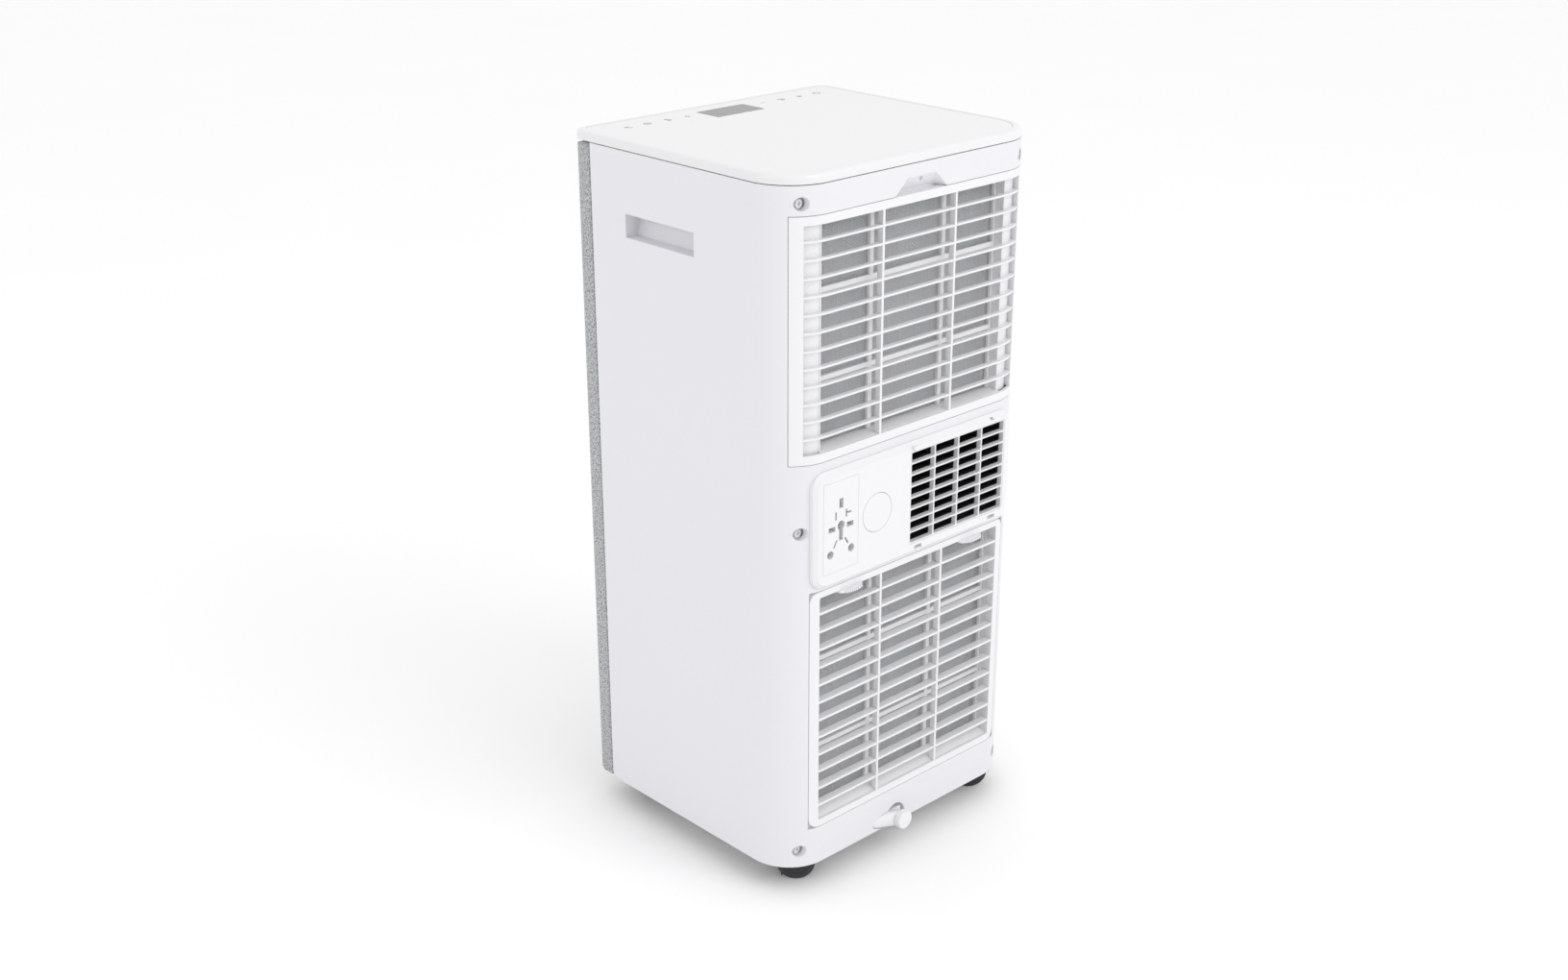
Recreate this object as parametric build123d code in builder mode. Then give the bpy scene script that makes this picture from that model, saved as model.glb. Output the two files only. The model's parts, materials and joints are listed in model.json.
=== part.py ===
from build123d import *
from math import atan2, cos, degrees, radians, sin, sqrt
import os

os.makedirs("parts", exist_ok=True)

# ------------------------------------------------------------------ driving dimensions
# Millimetres. +Z is up, the rear (the air intake side) faces +Y, and the origin lies on the
# floor under the middle of the machine.
width = 312.0
rear_y = 133.0            # flat rear face of the cabinet
seam_y = -119.0           # front edge of the cabinet, where the front panel starts
front_y = -147.0          # foremost face, the bezel of the air outlet
shell_bottom = 26.0
shell_top = 662.0
corner_radius = 44.0      # upright rear corners
wall = 2.6
rear_wall = 5.8           # the rear wall is double, to carry the covers
seam = 0.5                # gap round covers and caps
fit = 0.05                # radial clearance of pins and shafts

half = width / 2

# Upper cover: it wraps round both rear corners as far as 45 degrees.
upper_low = 422.0
upper_high = 636.5
upper_half = 143.0
upper_open_low = 430.0
upper_open_high = 628.8
upper_open_half = 113.5   # see-through part of the aperture
upper_pocket_half = 133.0  # closed pockets carry the rails on round the corners
upper_rail_first = 444.3
upper_rail_pitch = 15.52
upper_rib_x = 45.0

# Lower cover.
lower_low = 64.4
lower_high = 301.5
lower_half = 127.0
lower_open_low = 71.5
lower_open_high = 295.2
lower_open_half = 117.0
lower_rail_first = 86.6
lower_rail_pitch = 17.54
lower_rib_x = 40.0

rail_count = 12
border = 3.0              # thickness of both covers round their apertures
filter_y = 119.0          # rear face of both filter frames
filter_thickness = 3.0

# Raised plate between the covers.
plate_low = 304.0
plate_high = 413.0
plate_half = 127.5
plate_rise = 6.0
plate_bevel = 4.5
exhaust_left = -116.0
exhaust_right = 11.0
exhaust_low = 316.0
exhaust_high = 405.5
exhaust_columns = 4
exhaust_rows = 8
exhaust_depth = 12.0
holder_x = 98.0           # storage sockets for the mains plug
holder_z = 361.0
holder_width = 42.0
holder_height = 84.0
cap_x = 53.0              # round blanking cap
cap_z = 360.3
cap_radius = 18.0

# Drain at the foot of the rear.
drain_x = 14.0
drain_z = 33.5

# Lid.
lid_low = 662.8
lid_high = 671.0
lid_front_radius = 16.0
panel_inset = 8.0

# Front panel and air outlet.
fabric_y = -146.0
fabric_half = 155.4
fabric_low = 27.4
fabric_high = 661.0
fabric_back = -120.6
fabric_round = 14.0
fabric_thickness = 1.0
outlet_half = 122.0
outlet_low = 560.0
outlet_high = 626.0
vane_count = 5

# Inner works.
pan_z = 44.0              # underside of the base pan
deck_z = 408.5            # partition between the hot and the cold half
inner_inset = 8.6         # clearance of the partition from the cabinet's outside
upper_fan = (0.0, 508.0)
upper_fan_radius = 84.0
lower_fan = (-38.0, 182.0)
lower_fan_radius = 80.0

# Casters.
caster_x = 121.0
caster_rear_y = 97.5
caster_front_y = -108.0
wheel_radius = 18.0
wheel_width = 7.6
trail = 7.0
caster_angle = 135.0      # the way the wheels trail when the machine is parked


def level(z):
    """Horizontal plane at a height."""
    return Plane.XY.offset(z)


def across(y):
    """Upright plane across the cabinet: local x is X, local y is Z, the normal points forwards."""
    return Plane.XZ.offset(-y)


def cabinet_plan(inset, front):
    """Plan of the cabinet, set in from its outside: a rectangle with two rounded rear corners."""
    with BuildSketch() as plan:
        with Locations((0, (front + rear_y - inset) / 2)):
            Rectangle(width - 2 * inset, rear_y - inset - front)
        fillet(plan.vertices().group_by(Axis.Y)[-1], corner_radius - inset)
    return plan.sketch


def rear_band(outside, inside, left, right):
    """Plan of a layer of the rear wall between two insets and between two x positions."""
    outer = cabinet_plan(outside, seam_y)
    inner = cabinet_plan(inside, seam_y - wall)
    with BuildSketch() as band:
        add(outer)
        add(inner, mode=Mode.SUBTRACT)
        with Locations(((left + right) / 2, rear_y)):
            Rectangle(right - left, 2 * corner_radius, mode=Mode.INTERSECT)
    return band.sketch


def lid_plan(inset):
    """Plan of the lid, set in from its edge: the cabinet's plan carried on over the front panel."""
    with BuildSketch() as plan:
        with Locations((0, (front_y + rear_y) / 2)):
            Rectangle(width - 2 * inset, rear_y - front_y - 2 * inset)
        fillet(plan.vertices().group_by(Axis.Y)[-1], corner_radius - inset)
        fillet(plan.vertices().group_by(Axis.Y)[0], lid_front_radius - inset)
    return plan.sketch


# ------------------------------------------------------------------ cabinet shell
whole_plan = cabinet_plan(0, seam_y)
hollow_plan = cabinet_plan(wall, seam_y - wall)
thick_rear = rear_band(wall / 2, rear_wall, -half + 2 * wall, half - 2 * wall)
upper_seat = rear_band(-1, border + 0.3, -upper_half - seam, upper_half + seam)
lower_seat = rear_band(-1, border + 0.3, -lower_half - seam, lower_half + seam)
ledge = 6.0
handle_low = 586.0
handle_high = 607.0
handle_front = -72.0
handle_back = 18.0
handle_depth = 18.0
pocket_radius = 5.75
screw_x = 134.5
screw_heights = (42.7, 359.2, 647.0)
screw_floor_y = 120.6
boss_radius = 8.0
notch_top = 651.0
notch_depth = 9.0
notch_mouth_low = 32.0    # half widths of the notch
notch_mouth_high = 17.0
notch_floor_low = 26.0
notch_floor_high = 20.0
notch_screw_z = 646.5
backing_low = 631.0       # block behind the finger notch
backing_high = 655.0
rear_window_half = 119.0
clip = 6.5                # clipped lower front corners
gland_y = 60.0            # bush for the mains lead, in the far side wall
gland_z = 78.0
gland_radius = 9.0

with BuildPart() as cabinet_shell:
    with BuildSketch(level(shell_bottom)):
        add(whole_plan)
        add(hollow_plan, mode=Mode.SUBTRACT)
    extrude(amount=shell_top - shell_bottom)
    with BuildSketch(level(shell_bottom + 6)):
        add(thick_rear)
    extrude(amount=shell_top - shell_bottom - 14)
    # Backing for the finger notch above the upper cover.
    with BuildSketch(across(rear_y - wall)):
        with Locations((0, (backing_low + backing_high) / 2)):
            Rectangle(84, backing_high - backing_low)
    extrude(amount=12)
    # Bosses behind the corner screws.
    with BuildSketch(across(rear_y - 12)):
        for z in screw_heights:
            with Locations((screw_x, z), (-screw_x, z)):
                Circle(boss_radius)
    extrude(amount=rear_y - 12 - screw_floor_y + wall)
    # Seats and windows of the two covers.
    with BuildSketch(level(upper_low - seam)):
        add(upper_seat)
    extrude(amount=upper_high - upper_low + 2 * seam, mode=Mode.SUBTRACT)
    with BuildSketch(level(lower_low - seam)):
        add(lower_seat)
    extrude(amount=lower_high - lower_low + 2 * seam, mode=Mode.SUBTRACT)
    with BuildSketch(across(rear_y + 1)):
        with Locations((0, (upper_low + upper_high) / 2)):
            Rectangle(2 * (upper_half - ledge), upper_high - upper_low - 2 * ledge)
        with Locations((0, (lower_low + lower_high) / 2)):
            Rectangle(2 * (lower_half - ledge), lower_high - lower_low - 2 * ledge)
        with Locations((0, (plate_low + plate_high) / 2)):
            Rectangle(2 * rear_window_half, plate_high - plate_low - 2 * ledge)
    extrude(amount=corner_radius / 2, mode=Mode.SUBTRACT)
    # Screw pockets, driven from the rear.
    with BuildSketch(across(rear_y + 1)):
        for z in screw_heights:
            with Locations((screw_x, z), (-screw_x, z)):
                Circle(pocket_radius)
    extrude(amount=rear_y + 1 - screw_floor_y, mode=Mode.SUBTRACT)
    with BuildSketch(across(rear_y + 1)):
        for z in screw_heights:
            with Locations((screw_x, z), (-screw_x, z)):
                Circle(2.0)
    extrude(amount=corner_radius, mode=Mode.SUBTRACT)
    # Finger notch: a scoop with sloping cheeks, deepest where it meets the cover.
    notch_low = upper_high + seam
    with BuildSketch(across(rear_y)) as notch_mouth:
        with BuildLine():
            Polyline(
                (-notch_mouth_low, notch_low),
                (notch_mouth_low, notch_low),
                (notch_mouth_high, notch_top),
                (-notch_mouth_high, notch_top),
                close=True,
            )
        make_face()
    with BuildSketch(across(rear_y - notch_depth)) as notch_floor:
        with BuildLine():
            Polyline(
                (-notch_floor_low, notch_low),
                (notch_floor_low, notch_low),
                (notch_floor_high, notch_low + 1.5),
                (-notch_floor_high, notch_low + 1.5),
                close=True,
            )
        make_face()
    loft(mode=Mode.SUBTRACT)
    with BuildSketch(across(rear_y + 1)):
        with Locations((0, notch_screw_z)):
            Circle(3.2)
    extrude(amount=6, mode=Mode.SUBTRACT)
    # Handle recesses in both sides: walls first, then the pockets.
    for side in (-1, 1):
        with BuildSketch(across(handle_back + wall)):
            with BuildLine():
                Polyline(
                    (side * (half - wall / 2), handle_low - wall),
                    (side * (half - handle_depth + 1), handle_low - wall),
                    (side * (half - handle_depth - wall), handle_low + 6),
                    (side * (half - handle_depth - wall), handle_high + wall),
                    (side * (half - wall / 2), handle_high + wall),
                    close=True,
                )
            make_face()
        extrude(amount=handle_back - handle_front + 2 * wall)
        with BuildSketch(across(handle_back)) as pocket_end:
            with BuildLine():
                Polyline(
                    (side * (half + 1), handle_low),
                    (side * (half - handle_depth + 5), handle_low),
                    (side * (half - handle_depth), handle_high),
                    (side * (half + 1), handle_high),
                    close=True,
                )
            make_face()
            inner_side = Axis.X if side > 0 else Axis.X.reverse()
            fillet(pocket_end.vertices().group_by(inner_side)[0], 2)
            fillet(pocket_end.vertices().group_by(inner_side)[1], 5)
        extrude(amount=handle_back - handle_front, mode=Mode.SUBTRACT)
    with BuildSketch(Plane.YZ.offset(-half - 1)):
        with Locations((gland_y, gland_z)):
            Circle(gland_radius)
    extrude(amount=2 * wall, mode=Mode.SUBTRACT)
    # Arch over the drain spout, and clipped lower front corners.
    with BuildSketch(across(rear_y + 1)):
        with Locations((drain_x, drain_z)):
            Circle(12.5)
        with Locations((drain_x + 11, drain_z)):
            Ellipse(19.5, 7.8)
    extrude(amount=corner_radius / 2, mode=Mode.SUBTRACT)
    with BuildSketch(Plane.YZ.offset(-half - 1)):
        with BuildLine():
            Polyline(
                (seam_y - 1, shell_bottom - 1),
                (seam_y + clip, shell_bottom - 1),
                (seam_y - 1, shell_bottom + clip),
                close=True,
            )
        make_face()
    extrude(amount=width + 2, mode=Mode.SUBTRACT)
cabinet_shell.part.label = "cabinet_shell"
export_step(cabinet_shell.part, "parts/cabinet_shell.step")

# ------------------------------------------------------------------ upper cover
upper_border = rear_band(0, border, -upper_half, upper_half)
upper_rails = rear_band(0.3, 5.5, -upper_pocket_half - 1, upper_pocket_half + 1)
upper_pockets = [
    rear_band(5.4, 6.9, side_from, side_to)
    for side_from, side_to in (
        (-upper_pocket_half - 1, -upper_open_half),
        (upper_open_half, upper_pocket_half + 1),
    )
]
upper_rail_heights = [upper_rail_first + upper_rail_pitch * k for k in range(rail_count)]
upper_mid = (upper_open_low + upper_open_high) / 2
upper_open = upper_open_high - upper_open_low
rail_height = 2.0
rib_width = 2.5
rib_depth = 6.0
cheek = 1.6               # walls that run in from the aperture to the filter frame

with BuildPart() as upper_cover:
    with BuildSketch(level(upper_low)):
        add(upper_border)
    extrude(amount=upper_high - upper_low)
    with BuildSketch(across(rear_y + 1)):
        with Locations((0, upper_mid)):
            Rectangle(2 * upper_pocket_half, upper_open)
    extrude(amount=corner_radius / 2, mode=Mode.SUBTRACT)
    with BuildSketch(*[level(z - rail_height / 2) for z in upper_rail_heights]):
        add(upper_rails)
    extrude(amount=rail_height)
    with BuildSketch(level(upper_open_low - 1)):
        for pocket in upper_pockets:
            add(pocket)
        for x in (-upper_rib_x, upper_rib_x):
            with Locations((x, rear_y - 0.2 - rib_depth / 2)):
                Rectangle(rib_width, rib_depth)
        for x in (-upper_open_half - cheek / 2, upper_open_half + cheek / 2):
            with Locations((x, (rear_y - 5 + filter_y + 0.2) / 2)):
                Rectangle(cheek, rear_y - 5 - filter_y - 0.2)
    extrude(amount=upper_open + 2)
upper_cover.part.label = "upper_cover"
export_step(upper_cover.part, "parts/upper_cover.step")

# ------------------------------------------------------------------ lower cover
lower_border = rear_band(0, border, -lower_half - 2, lower_half + 2)
lower_rails = rear_band(0.4, 8.0, -lower_open_half - 1, lower_open_half + 1)
lower_rail_heights = [lower_rail_first + lower_rail_pitch * k for k in range(rail_count)]
lower_mid = (lower_open_low + lower_open_high) / 2
lower_open = lower_open_high - lower_open_low
lower_rail_height = 2.4
rib_lap = 0.2             # how far the ribs run into the border
tab_x = 79.5
tab_half = 15.0
tab_reach = 8.0
tooth_pitch = 2.4
tab_thickness = 2.4

with BuildPart() as lower_cover:
    with BuildSketch(level(lower_low - 2)):
        add(lower_border)
    extrude(amount=lower_high - lower_low + 4)
    with BuildSketch(across(rear_y + 1)):
        with Locations((0, (lower_low + lower_high) / 2)):
            RectangleRounded(2 * lower_half, lower_high - lower_low, 10)
    extrude(amount=corner_radius / 2, mode=Mode.INTERSECT)
    with BuildSketch(across(rear_y + 1)):
        with Locations((0, lower_mid)):
            RectangleRounded(2 * lower_open_half, lower_open, 2)
    extrude(amount=corner_radius / 2, mode=Mode.SUBTRACT)
    with BuildSketch(*[level(z - lower_rail_height / 2) for z in lower_rail_heights]):
        add(lower_rails)
    extrude(amount=lower_rail_height)
    with BuildSketch(level(lower_open_low - rib_lap)):
        for x in (-lower_rib_x, lower_rib_x):
            with Locations((x, rear_y - 0.2 - rib_depth / 2)):
                Rectangle(rib_width, rib_depth)
        for x in (-lower_open_half - cheek / 2, lower_open_half + cheek / 2):
            with Locations((x, (rear_y - 1 + filter_y + 0.2) / 2)):
                Rectangle(cheek, rear_y - 1 - filter_y - 0.2)
    extrude(amount=lower_open + 2 * rib_lap)
    # Sill that slopes up and in from the foot of the aperture.
    with BuildSketch(Plane.YZ.offset(-lower_open_half)):
        with BuildLine():
            Polyline(
                (rear_y - border, lower_open_low - 0.9),
                (rear_y - border, lower_open_low),
                (filter_y + 0.2, lower_open_low + 6),
                (filter_y + 0.2, lower_open_low + 4),
                close=True,
            )
        make_face()
    extrude(amount=2 * lower_open_half)
    # Two finger tabs, fanned and serrated along their outer edge.
    for x in (-tab_x, tab_x):
        with BuildSketch(level(lower_open_high - tab_thickness + 0.25)):
            with Locations((x, rear_y - 2)):
                Ellipse(tab_half, tab_reach)
            for k in range(-4, 5):
                aside = tooth_pitch * k
                reach = tab_reach * sqrt(1 - (aside / tab_half) ** 2)
                with Locations((x + aside, rear_y - 2 + reach)):
                    Rectangle(tooth_pitch / 2, 1.6)
        extrude(amount=tab_thickness)
lower_cover.part.label = "lower_cover"
export_step(lower_cover.part, "parts/lower_cover.step")

# ------------------------------------------------------------------ filters behind the covers
def filter_window_centres(open_half, rib_x):
    """Centres and widths of the three windows between a filter frame's upright ribs."""
    rib = 4.5
    edge = open_half - 3
    side_width = edge - rib_x - rib / 2
    side_centre = (edge + rib_x + rib / 2) / 2
    return ((-side_centre, side_width), (0, 2 * rib_x - rib), (side_centre, side_width))


filter_names = ("upper", "lower")
filter_halves = (upper_open_half, lower_open_half)
filter_ribs = (upper_rib_x, lower_rib_x)
filter_lows = (upper_open_low, lower_open_low)
filter_highs = (upper_open_high, lower_open_high)
filter_bars = (
    (upper_rail_heights[3], upper_rail_heights[8]),
    (lower_rail_heights[3], lower_rail_heights[8]),
)
net_thickness = 0.5
bar_height = 4.5

for name, open_half, rib_x, low, high, bars in zip(
    filter_names, filter_halves, filter_ribs, filter_lows, filter_highs, filter_bars
):
    frame_half = open_half + cheek
    frame_low = low - 1
    frame_high = high + 1
    edges = (frame_low + 3, bars[0], bars[1], frame_high - 3)
    with BuildPart() as filter_frame:
        with BuildSketch(across(filter_y)):
            with Locations((0, (frame_low + frame_high) / 2)):
                Rectangle(2 * frame_half, frame_high - frame_low)
            for below, above in zip(edges[:-1], edges[1:]):
                window_low = below + (bar_height / 2 if below != edges[0] else 0)
                window_high = above - (bar_height / 2 if above != edges[-1] else 0)
                for centre, window_width in filter_window_centres(open_half, rib_x):
                    with Locations((centre, (window_low + window_high) / 2)):
                        Rectangle(window_width, window_high - window_low, mode=Mode.SUBTRACT)
        extrude(amount=filter_thickness)
    filter_frame.part.label = f"{name}_filter_frame"
    export_step(filter_frame.part, f"parts/{name}_filter_frame.step")

    with BuildPart() as filter_net:
        with BuildSketch(across(filter_y - filter_thickness - 0.1)):
            with Locations((0, (frame_low + frame_high) / 2)):
                Rectangle(2 * frame_half - 2, frame_high - frame_low - 2)
        extrude(amount=net_thickness)
    filter_net.part.label = f"{name}_filter_net"
    export_step(filter_net.part, f"parts/{name}_filter_net.step")

# ------------------------------------------------------------------ raised rear plate
plate_mid = (plate_low + plate_high) / 2
exhaust_mid_x = (exhaust_left + exhaust_right) / 2
exhaust_mid_z = (exhaust_low + exhaust_high) / 2
exhaust_width = exhaust_right - exhaust_left
exhaust_height = exhaust_high - exhaust_low
plate_outside = cabinet_plan(-plate_rise, seam_y)
cabinet_outside = cabinet_plan(-fit, seam_y - wall)
catch_width = 9.7
plate_round = 9.5
plate_foot = 1.0          # upright foot below the bevel

with BuildPart() as rear_plate:
    with BuildSketch(across(rear_y + plate_rise)):
        with Locations((0, plate_mid)):
            RectangleRounded(
                2 * (plate_half - plate_bevel),
                plate_high - plate_low - 2 * plate_bevel,
                plate_round,
            )
    extrude(amount=plate_rise - plate_foot, taper=-degrees(atan2(plate_bevel, plate_rise - plate_foot)))
    with BuildSketch(across(rear_y + plate_foot)):
        with Locations((0, plate_mid)):
            RectangleRounded(2 * plate_half, plate_high - plate_low, plate_round + plate_bevel)
    extrude(amount=plate_rise + plate_foot)
    with BuildSketch(level(plate_low - 1)):
        add(plate_outside)
    extrude(amount=plate_high - plate_low + 2, mode=Mode.INTERSECT)
    with BuildSketch(level(plate_low - 1)):
        add(cabinet_outside)
    extrude(amount=plate_high - plate_low + 2, mode=Mode.SUBTRACT)
    # Windows for the exhaust grille, the plug sockets and the blanking cap.
    with BuildSketch(across(rear_y + plate_rise + 1)):
        with Locations((exhaust_mid_x, exhaust_mid_z)):
            RectangleRounded(exhaust_width + 0.3, exhaust_height + 0.3, 3)
        with Locations((holder_x, holder_z)):
            Rectangle(holder_width + 0.3, holder_height + 0.3)
        with Locations((cap_x, cap_z)):
            Circle(cap_radius + 0.35)
    extrude(amount=2 * plate_rise, mode=Mode.SUBTRACT)
    # Slots that the hose adapter hooks into.
    with BuildSketch(across(rear_y + plate_rise + 1)):
        with Locations((exhaust_right - 12, exhaust_low - 4.5), (exhaust_left + 15, exhaust_low - 4.5)):
            Rectangle(catch_width, 3.4)
        with Locations((exhaust_left + 18, exhaust_high + 3.7)):
            Rectangle(4, 2.4)
    extrude(amount=5, mode=Mode.SUBTRACT)
    # Small stop above the grille's inner corner.
    with BuildSketch(across(rear_y + plate_rise + 2.5)):
        with Locations((exhaust_right - 5, exhaust_high + 3.2)):
            RectangleRounded(7, 3.4, 1)
    extrude(amount=3)
rear_plate.part.label = "rear_plate"
export_step(rear_plate.part, "parts/rear_plate.step")

# ------------------------------------------------------------------ exhaust grille
cell_wall = 1.5
column_pitch = (exhaust_width - cell_wall) / exhaust_columns
row_pitch = (exhaust_height - cell_wall) / exhaust_rows

with BuildPart() as exhaust_grille:
    with BuildSketch(across(rear_y + plate_rise - 0.4)):
        with Locations((exhaust_mid_x, exhaust_mid_z)):
            RectangleRounded(exhaust_width, exhaust_height, 3)
            with GridLocations(column_pitch, row_pitch, exhaust_columns, exhaust_rows):
                RectangleRounded(column_pitch - cell_wall, row_pitch - cell_wall, 1.2, mode=Mode.SUBTRACT)
    extrude(amount=exhaust_depth)
exhaust_grille.part.label = "exhaust_grille"
export_step(exhaust_grille.part, "parts/exhaust_grille.step")

# ------------------------------------------------------------------ plug storage sockets
socket_depth = 22.0
flat_pin = 4.7
round_pin_radius = 3.75

with BuildPart() as plug_holder:
    with BuildSketch(across(rear_y + plate_rise)):
        with Locations((holder_x, holder_z)):
            Rectangle(holder_width, holder_height)
    extrude(amount=socket_depth + 3)
    with BuildSketch(level(holder_z - holder_height / 2 - 1)):
        add(plate_outside)
    extrude(amount=holder_height + 2, mode=Mode.INTERSECT)
    with BuildSketch(across(rear_y + plate_rise + 1)):
        # Earth pin, then live and neutral of the same plug.
        with Locations((holder_x, holder_z + 20.8)):
            Rectangle(flat_pin, 9)
        with Locations((holder_x - 11.1, holder_z - 1.5), (holder_x + 11.1, holder_z - 1.5)):
            Rectangle(8, flat_pin)
        # Keyhole: a round pin with a slot below it.
        with Locations((holder_x, holder_z)):
            Circle(4.25)
        with Locations((holder_x, holder_z - 7.5)):
            Rectangle(flat_pin, 13)
        # Narrow flat blades, one of them with a side slot.
        with Locations((holder_x - 6.35, holder_z + 10), (holder_x + 6.35, holder_z + 10)):
            Rectangle(1.8, 7.5)
        with Locations((holder_x - 9.6, holder_z + 10)):
            Rectangle(5.5, 1.8)
        with Locations((holder_x - 6.85, holder_z - 16)):
            Rectangle(1.8, 7.5, rotation=-30)
        with Locations((holder_x + 6.85, holder_z - 16)):
            Rectangle(1.8, 7.5, rotation=30)
        with Locations((holder_x - 12.7, holder_z - 24.7), (holder_x + 12.7, holder_z - 24.7)):
            Circle(round_pin_radius)
    extrude(amount=socket_depth + 1, mode=Mode.SUBTRACT)
plug_holder.part.label = "plug_holder"
export_step(plug_holder.part, "parts/plug_holder.step")

# ------------------------------------------------------------------ blanking cap and drain cap
with BuildPart() as blanking_cap:
    with BuildSketch(across(rear_y + plate_rise)):
        with Locations((cap_x, cap_z)):
            Circle(cap_radius)
    extrude(amount=3)
    with BuildSketch(across(rear_y + plate_rise - 3)):
        with Locations((cap_x, cap_z)):
            Circle(cap_radius - 1.5)
            Circle(cap_radius - 3.5, mode=Mode.SUBTRACT)
    extrude(amount=8)
blanking_cap.part.label = "blanking_cap"
export_step(blanking_cap.part, "parts/blanking_cap.step")

spout_end_y = 140.5
spout_bore = 5.0
drain_cap_end = 147.0
with BuildPart() as drain_cap:
    with BuildSketch(across(drain_cap_end)):
        with Locations((drain_x, drain_z)):
            Circle(9)
    extrude(amount=6.2)
    with BuildSketch(across(spout_end_y + 1)):
        with Locations((drain_x, drain_z)):
            Circle(spout_bore - fit)
    extrude(amount=13)
    fillet(drain_cap.edges().filter_by(GeomType.CIRCLE).sort_by(Axis.Y)[-1], 1.2)
drain_cap.part.label = "drain_cap"
export_step(drain_cap.part, "parts/drain_cap.step")

# ------------------------------------------------------------------ base pan with the drain spout
pan_plate = 3.0
pan_front = -141.0
pan_inset = 12.0          # the pan clears the bosses of the corner screws
sleeve_outer = 6.5
sleeve_inner = 4.05
sleeve_top = 62.0
caster_places = [
    (side * caster_x, y) for y in (caster_rear_y, caster_front_y) for side in (1, -1)
]

with BuildSketch() as pan_plan:
    add(cabinet_plan(pan_inset, pan_front))
    fillet(pan_plan.vertices().group_by(Axis.Y)[0], fabric_round - wall)

with BuildPart() as base_pan:
    with BuildSketch(level(pan_z)):
        add(pan_plan.sketch)
    extrude(amount=pan_plate)
    with BuildSketch(level(pan_z)):
        add(pan_plan.sketch)
        offset(pan_plan.sketch, amount=-2, mode=Mode.SUBTRACT)
    extrude(amount=12)
    with BuildSketch(level(pan_z)):
        with Locations(*caster_places):
            Circle(sleeve_outer + 2.5)
    extrude(amount=sleeve_top - pan_z)
    with BuildSketch(level(pan_z)):
        with Locations(*caster_places):
            Circle(sleeve_outer + fit)
    extrude(amount=sleeve_top - pan_z, mode=Mode.SUBTRACT)
    # Drain spout: a fairing that narrows to a round end, fed through the pan's rear edge.
    with BuildSketch(across(rear_y - 1)):
        with Locations((drain_x + 11, drain_z)):
            Ellipse(19, 7.3)
    with BuildSketch(across(spout_end_y)):
        with Locations((drain_x, drain_z)):
            Circle(7.3)
    loft()
    with BuildSketch(across(rear_y - 1)):
        with Locations((drain_x + 2, drain_z)):
            Rectangle(20, 14)
    extrude(amount=15)
    with BuildSketch(across(rear_y - 9)):
        with Locations((drain_x + 2, (drain_z + pan_z) / 2)):
            Rectangle(20, pan_z - drain_z + 4)
    extrude(amount=7)
    with BuildSketch(across(spout_end_y)):
        with Locations((drain_x, drain_z)):
            Circle(spout_bore)
    extrude(amount=18, mode=Mode.SUBTRACT)
base_pan.part.label = "base_pan"
export_step(base_pan.part, "parts/base_pan.step")

with BuildPart() as caster_sleeves:
    with BuildSketch(level(pan_z)):
        with Locations(*caster_places):
            Circle(sleeve_outer)
            Circle(sleeve_inner, mode=Mode.SUBTRACT)
    extrude(amount=sleeve_top - pan_z)
caster_sleeves.part.label = "caster_sleeves"
export_step(caster_sleeves.part, "parts/caster_sleeves.step")

# ------------------------------------------------------------------ casters
hood_radius = 20.4
hood_clearance = 0.6
hood_half = 11.0
web_half = 2.5
axle_radius = 2.0
stem_radius = 4.0

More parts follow.
